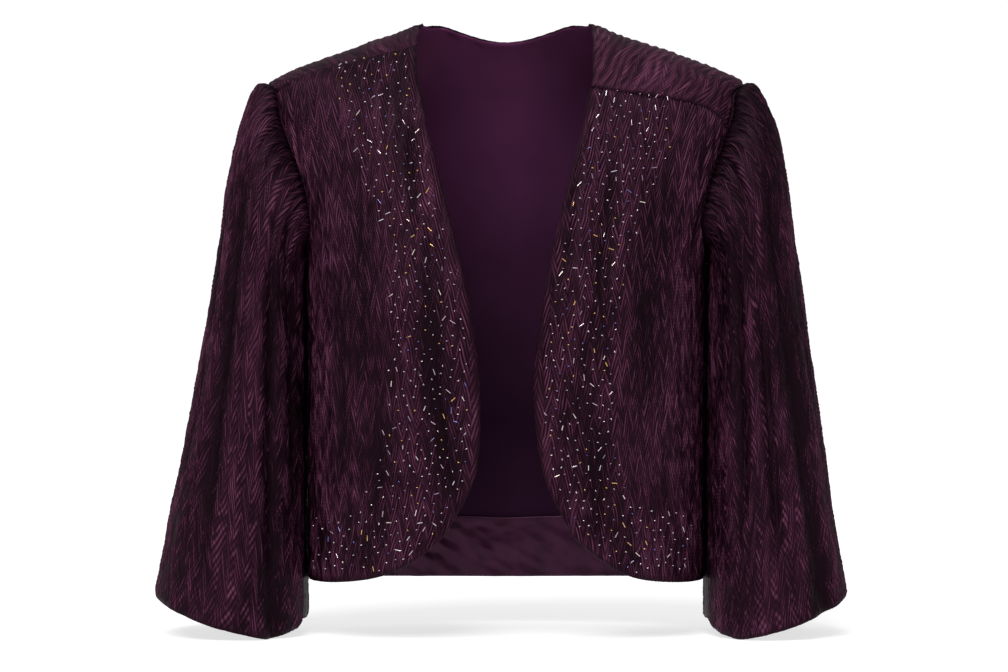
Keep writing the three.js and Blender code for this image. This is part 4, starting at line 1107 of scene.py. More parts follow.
def back_main(underarm_count, shoulder, neck, shares, armhole_rows):
    """Rows run up from the hem, columns from the wearer's left side seam to the right one."""
    top = np.vstack([
        resample(shoulder_ridge("left"), even(shoulder)),
        resample(back_neck_curve(), even(neck))[1:-1],
        resample(shoulder_ridge("right"), even(shoulder))[::-1],
    ])
    hem = curve_on_body(BACK_HEM)
    blocks = {}
    for side in ("left", "right"):
        column = resample(underarm_column(side, "back", CORNER_HEM_Z, even(CURVE_STEPS))[::-1], shares)
        corner = armhole_curve(side, "back", ARMHOLE_CORNER_Z, UNDERARM_Z)
        under = resample(corner, even(underarm_count))
        above = armhole_curve(side, "back", SHOULDER_TIP_Z, ARMHOLE_CORNER_Z)
        armhole = resample(above, even(armhole_rows))
        seam = resample(side_seam(side, "back", BACK_HEM[0][1], UNDERARM_Z, CURVE_STEPS), shares)
        line = hem if side == "left" else hem[::-1]
        bottom = resample(split_at(line, column[0])[0], even(underarm_count))
        under = under[::-1].copy()
        bottom[0], under[0] = seam[0], seam[-1]
        below = patch_between(bottom, under, seam, column, shares)
        blocks[side] = (np.vstack([column, armhole[::-1][1:]]), below)
    (left_edge, left_below), (right_edge, right_below) = blocks["left"], blocks["right"]
    hem_middle = split_at(split_at(hem, left_edge[0])[1], right_edge[0])[0]
    bottom = resample(hem_middle, even(2 * shoulder + neck))
    heights = np.concatenate([np.interp(shares, (0, FACING_TOP, 1), MIDDLE_HEIGHTS),
                              MIDDLE_HEIGHTS[2] + (1 - MIDDLE_HEIGHTS[2]) * even(armhole_rows)[1:]])
    middle = patch_between(bottom, top, left_edge, right_edge, heights)
    low = len(shares)
    lower = np.concatenate([left_below[:, :-1], middle[:low], right_below[:, :-1][:, ::-1]], 1)
    upper = with_missing(with_missing(middle[low:], underarm_count), underarm_count, before=True)
    return np.concatenate([lower, upper])


def shoulder_strip(side, ridge, rows):
    """Strip from the shoulder ridge forward to the yoke seam, rows after the ridge itself."""
    yoke = yoke_seam_curve(side)
    neck_edge = resample(split_at(front_edge_curve(side), yoke[0])[0], even(rows))
    armhole = resample(armhole_curve(side, "front", SHOULDER_TIP_Z, YOKE_ARMHOLE_Z[side]), even(rows))
    seam = off_seam(resample(yoke, even(SHOULDER))[::-1], SEAM_GAP / 2)
    armhole[0], neck_edge[0] = ridge[0], ridge[-1]
    armhole[-1], neck_edge[-1] = seam[0], seam[-1]
    return patch_between(ridge, seam, armhole, neck_edge)[1:]


def back_grid():
    main = back_main(UNDERARM, SHOULDER, NECK, even(BACK_SIDE_ROWS), BACK_ARMHOLE_ROWS)
    ridge_row = main[-1]
    extra = np.full((max(STRIP_ROWS.values()), main.shape[1], 3), np.nan)
    left = slice(UNDERARM, UNDERARM + SHOULDER + 1)
    right = slice(UNDERARM + SHOULDER + NECK, UNDERARM + 2 * SHOULDER + NECK + 1)
    extra[:STRIP_ROWS["left"], left] = shoulder_strip("left", ridge_row[left], STRIP_ROWS["left"])
    extra[:STRIP_ROWS["right"], right] = shoulder_strip(
        "right", ridge_row[right][::-1], STRIP_ROWS["right"])[:, ::-1]
    return np.concatenate([main, extra])


def make_back():
    grid = back_grid()
    mask = ~np.isnan(grid[..., 0])
    safe = np.where(mask[..., None], grid, grid[0, 0])
    normal = body_normal(safe)
    from_low, from_high, from_left, from_right = distance_fields(safe, mask)
    edges, ends = np.minimum(from_left, from_right), np.minimum(from_low, from_high)
    ridge = BACK_SIDE_ROWS + BACK_ARMHOLE_ROWS
    s = across_body(safe)
    t = -safe[..., 2]
    # Forward of the shoulder ridge the map runs on along the strip
    beyond = np.zeros(s.shape)
    beyond[ridge:] = (from_low - from_low[ridge:ridge + 1])[ridge:]
    s[ridge:] = s[ridge:ridge + 1] + np.sign(s[ridge:ridge + 1]) * STRIP_LEAN * beyond[ridge:]
    t[ridge:] = t[ridge:ridge + 1] - beyond[ridge:]
    one_way = STRIP_ONE_WAY * np.sign(s) * smooth(beyond / STRIP_REACH)
    relief = pleats(s, t, *BACK_PLEATS, one_way)
    on_shoulder = shoulder_share(safe[..., 2])
    fold_pitch, fold_seed = SHOULDER_FOLDS
    broad = broad_folds(s, t, fold_pitch, fold_seed) * on_shoulder
    broad *= np.where(safe[..., 0] < 0, RIGHT_SHARE, 1)
    crease = crease_depth(safe)
    above = np.arange(len(safe))[:, None] > BACK_SIDE_ROWS
    side_depth = np.where(above, ARMHOLE_DEPTH, SIDE_DEPTH)
    seams = edge_turn(ends, SEAM_DEPTH, SEAM_REACH) + edge_turn(edges, side_depth, SIDE_REACH)
    nearest = np.minimum(edges, ends)
    slow = waves(s, t, BACK_WAVES, BACK_WAVE_SEED) * smooth(nearest / WAVE_FADE)
    calm = CALM_SHARE + (1 - CALM_SHARE) * smooth(nearest / BACK_CALM_REACH)
    pleat = PLEAT_HEIGHT * relief * (1 - SHOULDER_CALM * on_shoulder) + broad
    height = crease + (slow + pleat * calm) * body_press(safe) + seams
    # Painted shade and light for the colour: darker in the pleats' hollows, the folds, the waves' troughs,
    # the creases and beside the arm, lighter on the crests and over the shoulders
    shade = ((1 - SHOULDER_DULL * on_shoulder) * relief + FOLD_SHADE * broad) * calm
    shade = shade + BACK_WAVE_SHADE * slow + SHOULDER_LIGHT * on_shoulder
    shade = shade + BACK_CREASE_SHADE * crease - side_shade(safe)
    face = safe + normal * height[..., None]
    behind = safe + normal * (crease - WALL)[..., None]
    roll = np.where(from_low < AT_EDGE, ROLLED, BACK_ROLL)
    made = cloth_shell("back_cloth", face, behind, np.stack([s, t], -1), shade, roll, mask)
    return with_finish(made, CLOTH, LINING)


back_cloth = make_back()

# %% [markdown]
# ## Lining and satin hem facing
# The inside of the back shows through the open front. A smooth lining covers it down to a
# satin facing, a band of shinier cloth turned up inside the hem, which wrinkles a little.

# %% Lining and facing
BACK_SIDE_LENGTH = 285
FACING_HEM_EDGE = 3
SKIN_ROLL = 0.2
# height, width and length of the waves in each, and their seed
LINING_WAVES, LINING_SEED = [(0.5, 34, 80), (0.2, 15, 45)], 81
FACING_WRINKLES, FACING_SEED = [(1.9, 26, 9), (0.9, 12, 6)], 83
# The facing's wrinkles run slantwise: how far across and down they go for each millimetre
SLANT = (0.87, 0.5)
# How far inside the lining's line the facing lies, how far below the neck its wrinkles start,
# and over what height they come
FACING_DEPTH, WRINKLE_START, WRINKLE_FADE = 3.0, 440, 7
# How many columns the grid has under the arm, over the shoulder and at the neck, and its upper rows
LINING_GRID, LINING_ROWS, LINING_ARMHOLE_ROWS = (16, 36, 28), 76, 40
FACING_GRID, FACING_ROWS = (32, 96, 72), 32


def inner_skin(name, grid, relief, finish):
    """A smooth shell on the inside of the back."""
    mask = ~np.isnan(grid[..., 0])
    safe = np.where(mask[..., None], grid, grid[0, 0])
    # This row is a patch's edge where the piece starts above the hem, so it isn't on the form yet
    safe[0] = onto_body(safe[0])
    normal = body_normal(safe)
    base = crease_depth(safe) - WALL - SEAM_GAP
    s, t = across_body(safe), -safe[..., 2]
    behind = safe + normal * base[..., None]
    face = safe + normal * (base - LINING_WALL - relief(s, t))[..., None]
    made = cloth_shell(name, face, behind, np.stack([s, t], -1), np.full(mask.shape, UNPLEATED_SHADE),
                       np.full(mask.shape, SKIN_ROLL), mask)
    return with_finish(made, finish, finish)


def lining_relief(s, t):
    return waves(s, t, LINING_WAVES, LINING_SEED)


def facing_relief(s, t):
    """Slanting wrinkles, none where the facing lies under the lining's edge."""
    most, least = SLANT
    along, across = most * s + least * t, most * t - least * s
    wrinkles = waves(along, across, FACING_WRINKLES, FACING_SEED)
    return FACING_DEPTH + wrinkles * smooth((t - WRINKLE_START) / WRINKLE_FADE)


lining_shares = FACING_TOP + (1 - FACING_TOP) * even(LINING_ROWS)
lining_shares[0] += SEAM_GAP / BACK_SIDE_LENGTH
lining_grid = back_main(*LINING_GRID, lining_shares, LINING_ARMHOLE_ROWS)
back_lining = inner_skin("lining_of_back", lining_grid, lining_relief, LINING)
facing_start = FACING_HEM_EDGE / BACK_SIDE_LENGTH
facing_shares = np.append(facing_start + (FACING_TOP - facing_start) * even(FACING_ROWS), 1)
facing_grid = back_main(*FACING_GRID, facing_shares, 1)[:FACING_ROWS + 1]
hem_facing = inner_skin("satin_hem_facing", facing_grid, facing_relief, SATIN)

# %% [markdown]
# ## Sleeves
# A sleeve is a tube that starts at the armhole and widens to the cuff. Its head is gathered
# into the seam, which throws long folds down the arm. The cuff dips at the front.

# %% Tables of the sleeves
# part of the length, outer x and z, inner x and z, reach forward and back, armhole share
SLEEVE_RINGS = {
    "right": [
        (0, 209, -54, 178, -206, 52, 60, 1), (0.04, 221.5, -64, 177.5, -211, 55, 63, 0.62),
        (0.1, 228, -82, 176.6, -222, 59, 65, 0.28), (0.2, 237, -120, 175.4, -244, 62, 67, 0.06),
        (0.35, 247, -185, 174.6, -282, 64, 68, 0), (0.55, 264, -290, 174.2, -350, 68, 70, 0),
        (0.78, 285, -397, 174.2, -435, 75, 76, 0), (1, 304, -497, 174.4, -517, 82, 82, 0),
    ],
    "left": [
        (0, 210, -54, 178, -206, 52, 60, 1), (0.04, 224.5, -64, 177.5, -211, 55, 63, 0.62),
        (0.1, 231, -82, 176.6, -222, 59, 65, 0.28), (0.2, 240.5, -120, 175.4, -244, 62, 67, 0.06),
        (0.35, 249.5, -185, 174.6, -282, 64, 68, 0), (0.55, 264, -290, 174.2, -350, 68, 70, 0),
        (0.78, 279, -397, 174.2, -435, 75, 76, 0), (1, 295.5, -497, 174.2, -517, 82, 82, 0),
    ],
}
# degrees round from the outer side past the front, and how far the cuff dips there
CUFF_DIP = [(0, 0), (27, 3), (49, 7.5), (69, 12), (90, 16), (122, 18.5), (155, 8), (180, 0),
            (225, 10), (270, 14), (315, 7), (360, 0)]
# degrees round at the top and at the end, start and end of the fold, depth, half width
SLEEVE_FOLDS = {
    "right": [
        (50, 68, 0.06, 0.97, 6, 11), (100, 130, 0.05, 1, 5.5, 11), (26, 34, 0.2, 0.8, 3.2, 7),
        (132, 152, 0.12, 0.9, 5, 7), (232, 222, 0.08, 0.9, 5, 11), (275, 266, 0.06, 1, 5.5, 13),
        (318, 306, 0.1, 0.85, 4, 11), (112, 132, 0.03, 0.42, 3.2, 9),
    ],
    "left": [
        (60, 52, 0.05, 1, 6, 11), (108, 122, 0.04, 0.9, 5.5, 11), (30, 24, 0.25, 0.9, 3.2, 7),
        (84, 88, 0.3, 0.95, 4.5, 6.5), (236, 228, 0.08, 0.95, 5, 12), (280, 272, 0.05, 0.9, 5, 12),
        (322, 312, 0.12, 1, 4.5, 11), (126, 140, 0.03, 0.55, 3.6, 10), (88, 100, 0.03, 0.4, 2.6, 7),
    ],
}
# where the inner side rests closer to the body, behind its widest line: degrees, half width, depth, parts
INNER_REST = (207, 14, 4.2, 0.04, 0.22)
FRONT_HALF, BACK_HALF, SLEEVE_ROWS = 372, 224, 140
# The rows lie closer together at the head
ROW_POWER = 1.12
GIRTH_HEAD, GIRTH_CUFF = 400, 480
ARMHOLE_MIDDLE_Z = (SHOULDER_TIP_Z + UNDERARM_Z) / 2
print("drop of each sleeve", {side: round(rows[0][2] - rows[-1][2]) for side, rows in SLEEVE_RINGS.items()})

# %% The plain tube


def armhole_at(side, half, turn):
    """Points of half an armhole at turns from its tip round its middle."""
    seam = armhole_curve(side, half, SHOULDER_TIP_Z, UNDERARM_Z)
    across = np.abs(seam[:, 1] - CENTRE_Y)
    up = (seam[:, 2] - ARMHOLE_MIDDLE_Z) / (SHOULDER_TIP_Z - ARMHOLE_MIDDLE_Z)
    turns = np.degrees(np.arctan2(across / across.max(), up))
    return np.stack([np.interp(turn, turns, seam[:, k]) for k in range(3)], -1)


def sleeve_base(side, turn, part):
    """Points of the plain tube. turn is in degrees, negative behind, part runs down the arm."""
    table = SLEEVE_RINGS[side]
    columns = (column_of(table, k)(part) for k in range(1, 8))
    outer_x, outer_z, inner_x, inner_z, front, back, keeps = columns
    round_turn = np.where(turn < 0, turn + 360, turn)
    cos, sin = np.cos(np.radians(turn)), np.sin(np.radians(turn))
    reach = (np.abs(cos) ** SQUARENESS + np.abs(sin) ** SQUARENESS) ** (-1 / SQUARENESS)
    share = (1 + cos * reach) / 2
    dip = column_of(CUFF_DIP, 1)(round_turn)
    ring = np.stack([
        SIDES[side] * (inner_x + (outer_x - inner_x) * share),
        -sin * reach * np.where(sin > 0, front, back),
        inner_z + (outer_z - inner_z) * share - dip * part ** 3,
    ], -1)
    rest_turn, rest_width, rest_depth, rest_start, rest_full = INNER_REST
    lowered = smooth((part - rest_start) / (rest_full - rest_start))
    ring[..., 0] -= SIDES[side] * rest_depth * bell(round_turn - rest_turn, rest_width) * lowered
    head = np.zeros(ring.shape)
    for half, here in (("front", turn >= 0), ("back", turn < 0)):
        head[here] = armhole_at(side, half, np.abs(turn[here]))
    flat = np.zeros(turn.shape)
    inwards = np.stack([flat, CENTRE_Y - head[..., 1], ARMHOLE_MIDDLE_Z - head[..., 2]], -1)
    inwards /= np.linalg.norm(inwards, axis=-1, keepdims=True)
    head += inwards * ARMHOLE_GAP
    head[..., 0] += SIDES[side] * ARMHOLE_GAP
    keeps = np.clip(keeps, 0, 1)[..., None]
    return ring * (1 - keeps) + head * keeps


def tube_normals(base, side):
    """The direction that faces out of a tube whose first and last columns are the same."""
    ahead, before = np.roll(base[:, :-1], -1, 1), np.roll(base[:, :-1], 1, 1)
    around = np.concatenate([ahead - before, (ahead - before)[:, :1]], 1)
    normal = np.cross(around, np.gradient(base, axis=0)) * SIDES[side]
    return normal / np.linalg.norm(normal, axis=-1, keepdims=True)


# %% [markdown]
# ## Folds and gathers of a sleeve
# Long folds run down the arm. At the head the cloth is gathered into the seam: it puffs up
# just below it, and narrow slits open between the gathers. They are added to the plain tube
# as heights, because a simulated sleeve would hang in another way each time.

# %% Folds and gathers
FOLD_FADE = 0.3
# The gathers reach this many degrees round from the top of the head, and fade over so many
GATHER_REACH, GATHER_FADE = 130, 25
GATHER_WANDER, GATHER_PITCH = (3, 12, 40), 14.5
# height of the gathers, what the broad ones add, and the lengths over which these fade
GATHER_HEIGHT, BROAD_HEIGHT, GATHER_LENGTH, BROAD_LENGTH = 1.6, 1.9, 90, 60
SLIT_PITCH, SLIT_DRIFT, SLIT_POWER = 5.2, (0.35, 6, 15), 2.2
SLIT_LENGTH, SLIT_LENGTH_CHANGE, SLIT_LENGTH_WIDTH = 17, 6, 5
SLIT_DEPTH, SLIT_START = 2.0, 2
# The puff on top of the head: height, degrees round, length over which it rises and over which it fades
PUFF_HEIGHT, PUFF_TURN, PUFF_RISE, PUFF_FADE = 1.6, 45, 2.5, 22
# The cloth comes away from the head's seam over this length
SETTLE_LENGTH = 7


def sleeve_fold_depth(side, turn, part, girth):
    round_turn = np.where(turn < 0, turn + 360, turn)
    depth = np.zeros(turn.shape)
    for top_turn, end_turn, start, end, deep, width in SLEEVE_FOLDS[side]:
        t = (part - start) / (end - start)
        centre = top_turn + (end_turn - top_turn) * np.clip(t, 0, 1)
        offset = (round_turn - centre) / 360 * girth
        fade_out = smooth((1 - t) / FOLD_FADE) if end < 1 else 1
        depth -= deep * bell(offset, width) * smooth(t / FOLD_FADE) * fade_out
    return depth


def head_gathers(turn, s, t, grain, seed):
    """How far the gathers lift the cloth at the head, and how open the slits between them are."""
    reach = 1 - smooth((np.abs(turn) - GATHER_REACH) / GATHER_FADE + 1)
    wander = grain + wave(s, t, GATHER_WANDER, seed + 9)
    broad = 0.5 + 0.5 * np.cos(2 * np.pi * wander / GATHER_PITCH)
    slit_place = wander / SLIT_PITCH + wave(s, t, SLIT_DRIFT, seed + 10)
    slit_length = SLIT_LENGTH + SLIT_LENGTH_CHANGE * soft_noise(s / SLIT_LENGTH_WIDTH, 0 * t, seed + 13)
    slit = ripple(slit_place) ** SLIT_POWER * bell(t, slit_length) * reach
    puff = PUFF_HEIGHT * bell(turn, PUFF_TURN) * smooth(t / PUFF_RISE) * np.exp(-t / PUFF_FADE)
    lift = reach * (GATHER_HEIGHT + BROAD_HEIGHT * broad * np.exp(-t / BROAD_LENGTH))
    return lift * smooth(t / SETTLE_LENGTH) * np.exp(-t / GATHER_LENGTH) + puff, slit


# %% [markdown]
# ## Seam allowance of the head
# Where a sleeve is sewn in, its raw edge lies under the edge of the front. A few rows of
# points are added there, so that no gap opens between the two cloths along the seam.

# %% Seam allowance
# How far under the front's edge and how deep each row lies, the farthest row first
ALLOWANCE_ROWS = [(4.6, WALL + 0.42), (3.0, WALL + 0.42), (1.7, WALL + 0.42), (0.7, WALL + 0.38)]
ALLOWANCE_WALL = 0.9
# Where nothing is tucked in, each row goes this share farther from the sleeve towards the seam
ROW_NUDGE = 0.1
# The front's edge covers the head between these degrees round, and the cover fades in over so many
TUCK_START, TUCK_END, TUCK_FADE = 6, 172, 10


def tucked_share(turn):
    """1 where the head lies under the front's edge, else 0."""
    return smooth((turn - TUCK_START) / TUCK_FADE) * smooth((TUCK_END - turn) / TUCK_FADE)


def add_allowance(side, turns, face, behind):
    """Adds rows above the sleeve head, which lie under the edge of the front's cloth."""
    seam = np.where((turns >= 0)[:, None], armhole_at(side, "front", np.abs(turns)),
                    armhole_at(side, "back", np.abs(turns)))
    normal = body_normal(seam)
    inwards = np.cross(normal, np.gradient(seam, axis=0))
    inwards /= np.linalg.norm(inwards, axis=1, keepdims=True)
    inwards *= -np.sign(inwards[:, :1] * SIDES[side])
    share = tucked_share(turns)[:, None]
    rows = []
    for k, (reach, depth) in enumerate(ALLOWANCE_ROWS):
        hidden = seam + inwards * reach - normal * depth
        nudge = (seam - face[0]) * ROW_NUDGE * (len(ALLOWANCE_ROWS) - k)
        outer = (face[0] + nudge) * (1 - share) + hidden * share
        inner = (behind[0] + nudge) * (1 - share) + (hidden - normal * ALLOWANCE_WALL) * share
        outer[-1], inner[-1] = outer[0], inner[0]
        rows.append((outer, inner))
    outers, inners = zip(*rows)
    return np.concatenate([outers, face]), np.concatenate([inners, behind])


# %% [markdown]
# ## The sleeves, finished
# The tube, its folds, gathers and pleats are added up here. The painted shade and light that the
# colour reads follow the same heights, and the painted shade is deeper beside the body and on the sleeves'
# heads.

# %% Sleeves
SLEEVE_PLEAT_HEIGHT = 1.2
# pitch of the pleats, width of their bands, lean in degrees, seed
SLEEVE_PLEATS = {"right": (2.35, 6.6, 16, 51), "left": (2.35, 6.6, 16, 61)}
SLEEVE_WAVES = [(1.0, 16, 48), (0.6, 8, 26)]
SLEEVE_MAP_WIDTH = 440
# The folds start in this part of the length
FOLD_START = 0.05
# How far the pleats fan away from the head's seam, and over what length
HEAD_FAN, FAN_LENGTH = 9, 16
# The fan is full from the first of these degrees round, and fades from the second to twice that
FAN_TURN, FAN_FADE = 50, 60
# Calm of the pleats at the head and at the cuff: the share that stays, and the way to full height
HEAD_CALM, HEAD_CALM_REACH, CUFF_CALM_REACH = 0.45, 20, 4
# The pleats are pressed to the full within this many degrees of the inner side
PRESSED_TURN = 6
# depth and reach of the turn-down at the back seam and at the head, and what the tuck adds
TUBE_SEAM_DEPTH, TUBE_SEAM_REACH = 0.8, 1.2
HEAD_DEPTH, TUCK_DEPTH, HEAD_REACH = 0.2, 1.65, 1.6
# The inner face: its share of the gathers, and how much lower it lies under a tuck and under pleats
INNER_GATHER, INNER_TUCK, INNER_TUCK_REACH, INNER_PLEAT = 0.6, 2.6, 8, 0.9
# Shares of the waves, the seam, the slits and the folds in the painted shade
WAVE_SHADE, SETTLE_SHADE, SLIT_SHADE, FOLD_DARK = 0.16, 0.25, 0.9, 0.09
# Painted shade beside the body, and the degrees and part of the length over which it comes
BODY_SHADE, BODY_SHADE_TURN, BODY_SHADE_START = 0.42, 17, 0.1
# How much deeper the painted shade on each sleeve's head is, round which degrees, and where that ends
HEAD_SHADE = {"right": 0.02, "left": 0.38}
HEAD_SHADE_TURN, HEAD_SHADE_WIDTH, HEAD_SHADE_START, HEAD_SHADE_FADE = 35, 50, 0.1, 0.3
# Inside the head this many rows of the inner face are the pleated cloth of the seam allowance
CLOTH_ROWS_INSIDE = 3


def sleeve_shade(side, turn, part, relief, slow, slit, fold, settle):
    """The painted shade and light that the colour follows: darker in the pleats' hollows, the slits, the
    folds, by the head's seam, beside the body and on the heads, lighter on the crests.
    """
    shade = (relief + WAVE_SHADE * slow) * (1 - SETTLE_SHADE + SETTLE_SHADE * settle)
    shade = shade * (1 - SLIT_SHADE * slit) + FOLD_DARK * fold
    by_body = bell(np.abs(turn) - 180, BODY_SHADE_TURN) * smooth(part / BODY_SHADE_START)
    on_head = bell(turn - HEAD_SHADE_TURN, HEAD_SHADE_WIDTH)
    on_head = on_head * (1 - smooth((part - HEAD_SHADE_START) / HEAD_SHADE_FADE))
    return shade - BODY_SHADE * by_body - HEAD_SHADE[side] * on_head


def make_sleeve(side):
    turns = np.concatenate([np.linspace(-180, 0, BACK_HALF + 1)[:-1], np.linspace(0, 180, FRONT_HALF + 1)])
    turn, part = np.meshgrid(turns, even(SLEEVE_ROWS) ** ROW_POWER)
    base = sleeve_base(side, turn, part)
    base[:, -1] = base[:, 0]
    normal = tube_normals(base, side)
    s = turn / 360 * SLEEVE_MAP_WIDTH
    t = lengths_along(base, 0)
    from_cuff = t[-1:] - t
    from_inside = np.abs(np.abs(turn) - 180)
    *_, seed = SLEEVE_PLEATS[side]

    # Pleats, which fan away from the head's seam
    fan = np.clip(turn / FAN_TURN, -1, 1) * (1 - smooth((np.abs(turn) - FAN_FADE) / FAN_FADE))
    grain = s + HEAD_FAN * fan * (1 - np.exp(-t / FAN_LENGTH))
    calm = HEAD_CALM + (1 - HEAD_CALM) * smooth(t / HEAD_CALM_REACH)
    calm = calm * (CALM_SHARE + (1 - CALM_SHARE) * smooth(from_cuff / CUFF_CALM_REACH))
    relief = pleats(grain, t, *SLEEVE_PLEATS[side]) * calm
    slow = waves(s, t, SLEEVE_WAVES, seed + 11)
    settle = smooth(t / SETTLE_LENGTH)
    press = 1 - (1 - PRESSED) * (1 - smooth((from_inside - PRESSED_TURN) / PRESSED_REACH))
    fine = (slow + SLEEVE_PLEAT_HEIGHT * relief) * settle * press

    # Folds, gathers and seams
    gather, slit = head_gathers(turn, s, t, grain, seed)
    girth = GIRTH_HEAD + (GIRTH_CUFF - GIRTH_HEAD) * part
    fold = sleeve_fold_depth(side, turn, part, girth) * smooth(part / FOLD_START)
    cut = SLIT_DEPTH * slit * smooth(t / SLIT_START)
    tucked = tucked_share(turn)
    seam = edge_turn(180 - np.abs(turn), TUBE_SEAM_DEPTH, TUBE_SEAM_REACH)
    seam += edge_turn(t, HEAD_DEPTH + TUCK_DEPTH * tucked, HEAD_REACH)
    height = fold + gather + fine - cut + edge_turn(from_cuff, ROLL_DEPTH, ROLL_REACH) + seam
    under = fold + INNER_GATHER * gather - WALL - INNER_TUCK * tucked * bell(t, INNER_TUCK_REACH)
    under = under - cut - INNER_PLEAT * settle * press
    face, behind = base + normal * height[..., None], base + normal * under[..., None]
    face[:, -1], behind[:, -1] = face[:, 0], behind[:, 0]

    # The rows of the seam allowance come first in every grid
    face, behind = add_allowance(side, turns, face, behind)
    extra = len(ALLOWANCE_ROWS)
    above = np.array([[reach + 1] for reach, _ in ALLOWANCE_ROWS])
    uv = np.concatenate([np.stack([s[:extra], t[:extra] * 0 - above], -1), np.stack([s, t], -1)])
    shade = sleeve_shade(side, turn, part, relief, slow, slit, fold, settle)
    # The seam allowance takes the deepest painted shade, where it lies under the front's edge
    shade = np.concatenate([np.zeros(shade[:extra].shape), shade])
    roll = np.where(from_cuff < AT_EDGE, ROLLED, SEWN)
    roll = np.concatenate([np.full(roll[:extra].shape, SEWN), roll])
    made = cloth_shell("sleeve_cloth_" + side, face, behind, uv, shade, roll, tube=True)
    made = with_finish(made, CLOTH, LINING)
    inner = [polygon for polygon in made.data.polygons if polygon.material_index == 1]
    for polygon in inner[:CLOTH_ROWS_INSIDE * (len(turns) // COARSE)]:
        polygon.material_index = 0
    return made


sleeves = {side: make_sleeve(side) for side in SIDES}

# %% [markdown]
# ## Beads
# Glass seed beads and a few longer bugle beads are sewn by hand down both fronts and along
# the hem, each on its own. They could be set one by one, but a Geometry Nodes tree that puts
# one ring or one tube on each point of a small cloud is shorter, and its sizes stay named.

# %% Where the beads lie
BEAD_SPACING = 6.2
BEAD_MARGIN = 8.0
BEAD_TRIES = 9000
NEAREST_X, FARTHEST_X, LOWEST_Z = 20, 168, -474
# Towards the field's outer line the beads thin out to this share, over this width
THINNED_SHARE, THINNED_WIDTH = 0.25, 14

# height, and how far from the centre the field of beads reaches there
BEAD_FIELD = {
    "right": [(-30, 146), (-76, 142), (-93, 135), (-143, 121), (-210, 97), (-328, 101), (-395, 114),
              (-424, 130), (-432, 166), (-480, 168)],
    "left": [(-64, 140), (-110, 140), (-143, 126), (-180, 112), (-244, 97), (-328, 89), (-395, 100),
             (-420, 122), (-428, 158), (-480, 160)],
}
BEAD_COLOURS = [
    (0.68, 0.63, 0.67), (0.52, 0.38, 0.48), (0.78, 0.67, 0.60), (0.28, 0.23, 0.36),
    (0.70, 0.42, 0.14), (0.11, 0.12, 0.38),
]
BEAD_SHARES = [0.28, 0.24, 0.14, 0.14, 0.11, 0.09]
# Which share of the beads are bugles, and their least and greatest length
BUGLE_SHARE, BUGLE_LENGTHS = 0.17, (3.4, 5.4)
BEAD_SIZES = (0.85, 1.15)
# How far beads lean from upright, as a spread in radians, and how high they stand on the cloth
BEAD_LEAN, BEAD_LIFT = 0.8, 0.45


def edge_at(side, z):
    """How far the open edge, or the hem's rounded corner, lies from the centre at a height."""
    rows = FRONT_EDGE[side] + FRONT_HEM[side][1:]
    return np.interp(-z, [-row[1] for row in rows], [row[0] for row in rows])


def bead_places(side, seed):
    """Random places in the field of beads, none nearer to another than the spacing."""
    random = np.random.RandomState(seed)
    reach = column_of(BEAD_FIELD[side], 1)
    top = BEAD_FIELD[side][0][0]
    kept = []
    for x, z in random.uniform((NEAREST_X, LOWEST_Z), (FARTHEST_X, top), (BEAD_TRIES, 2)):
        limit = float(reach(z))
        if not edge_at(side, z) + BEAD_MARGIN < x < limit:
            continue
        fade = np.clip((limit - x) / THINNED_WIDTH, 0, 1)
        chosen = random.uniform() < THINNED_SHARE + (1 - THINNED_SHARE) * fade
        if chosen and all((x - a) ** 2 + (z - b) ** 2 > BEAD_SPACING ** 2 for a, b in kept):
            kept.append((x, z))
    return np.array(kept)


def bead_points(side, seed):
    """A cloud of points on the front's cloth, with each bead's turn, size, kind and colour."""
    _, face, normal = fronts[side]
    flat = face.reshape(-1, 3)
    usable = np.flatnonzero(~np.isnan(flat[:, 0]))
    tree = KDTree(len(usable))
    for k in usable:
        tree.insert((flat[k, 0], 0, flat[k, 2]), int(k))
    tree.balance()
    random = np.random.RandomState(seed + 1)
    places = bead_places(side, seed)
    count = len(places)
    kind = random.uniform(size=count)
    length = np.where(kind < BUGLE_SHARE, random.uniform(*BUGLE_LENGTHS, count), 0)
    colour = np.array(BEAD_COLOURS)[random.choice(len(BEAD_COLOURS), count, p=BEAD_SHARES)]
    size = random.uniform(*BEAD_SIZES, count)
    spots, turns = [], []
    for x, z in places:
        _, k, _ = tree.find((SIDES[side] * x, 0, z))
        up = Vector(normal.reshape(-1, 3)[k])
        lean = random.normal(0, BEAD_LEAN)
        along = Vector((math.sin(lean), 0, math.cos(lean)))
        along = (along - up * along.dot(up)).normalized()
        spots.append(Vector(flat[k]) + up * BEAD_LIFT)
        turns.append(Matrix((up.cross(along), up, along)).transposed().to_euler())
    mesh = bpy.data.meshes.new("bead_points_" + side)
    mesh.from_pydata([spot * MM for spot in spots], [], [])
    for name, values, key, kind_of in (
            ("turn", turns, "vector", "FLOAT_VECTOR"), ("size", size, "value", "FLOAT"),
            ("tube_length", length * MM, "value", "FLOAT")):
        mesh.attributes.new(name, kind_of, "POINT").data.foreach_set(key, np.array(values).ravel())
    mesh.attributes.new("bead_colour", "FLOAT_COLOR", "POINT").data.foreach_set(
        "color", np.concatenate([colour, np.ones((count, 1))], 1).ravel())
    print("beads", side, count)
    return new_object("bead_points_" + side, mesh)


# %% [markdown]
# ### Glass of the beads
# The beads are small, bright and mixed in colour. Each one carries its colour on its mesh,
# and a little metal in the glass gives the glint of a silver lining.

# %% Bead glass


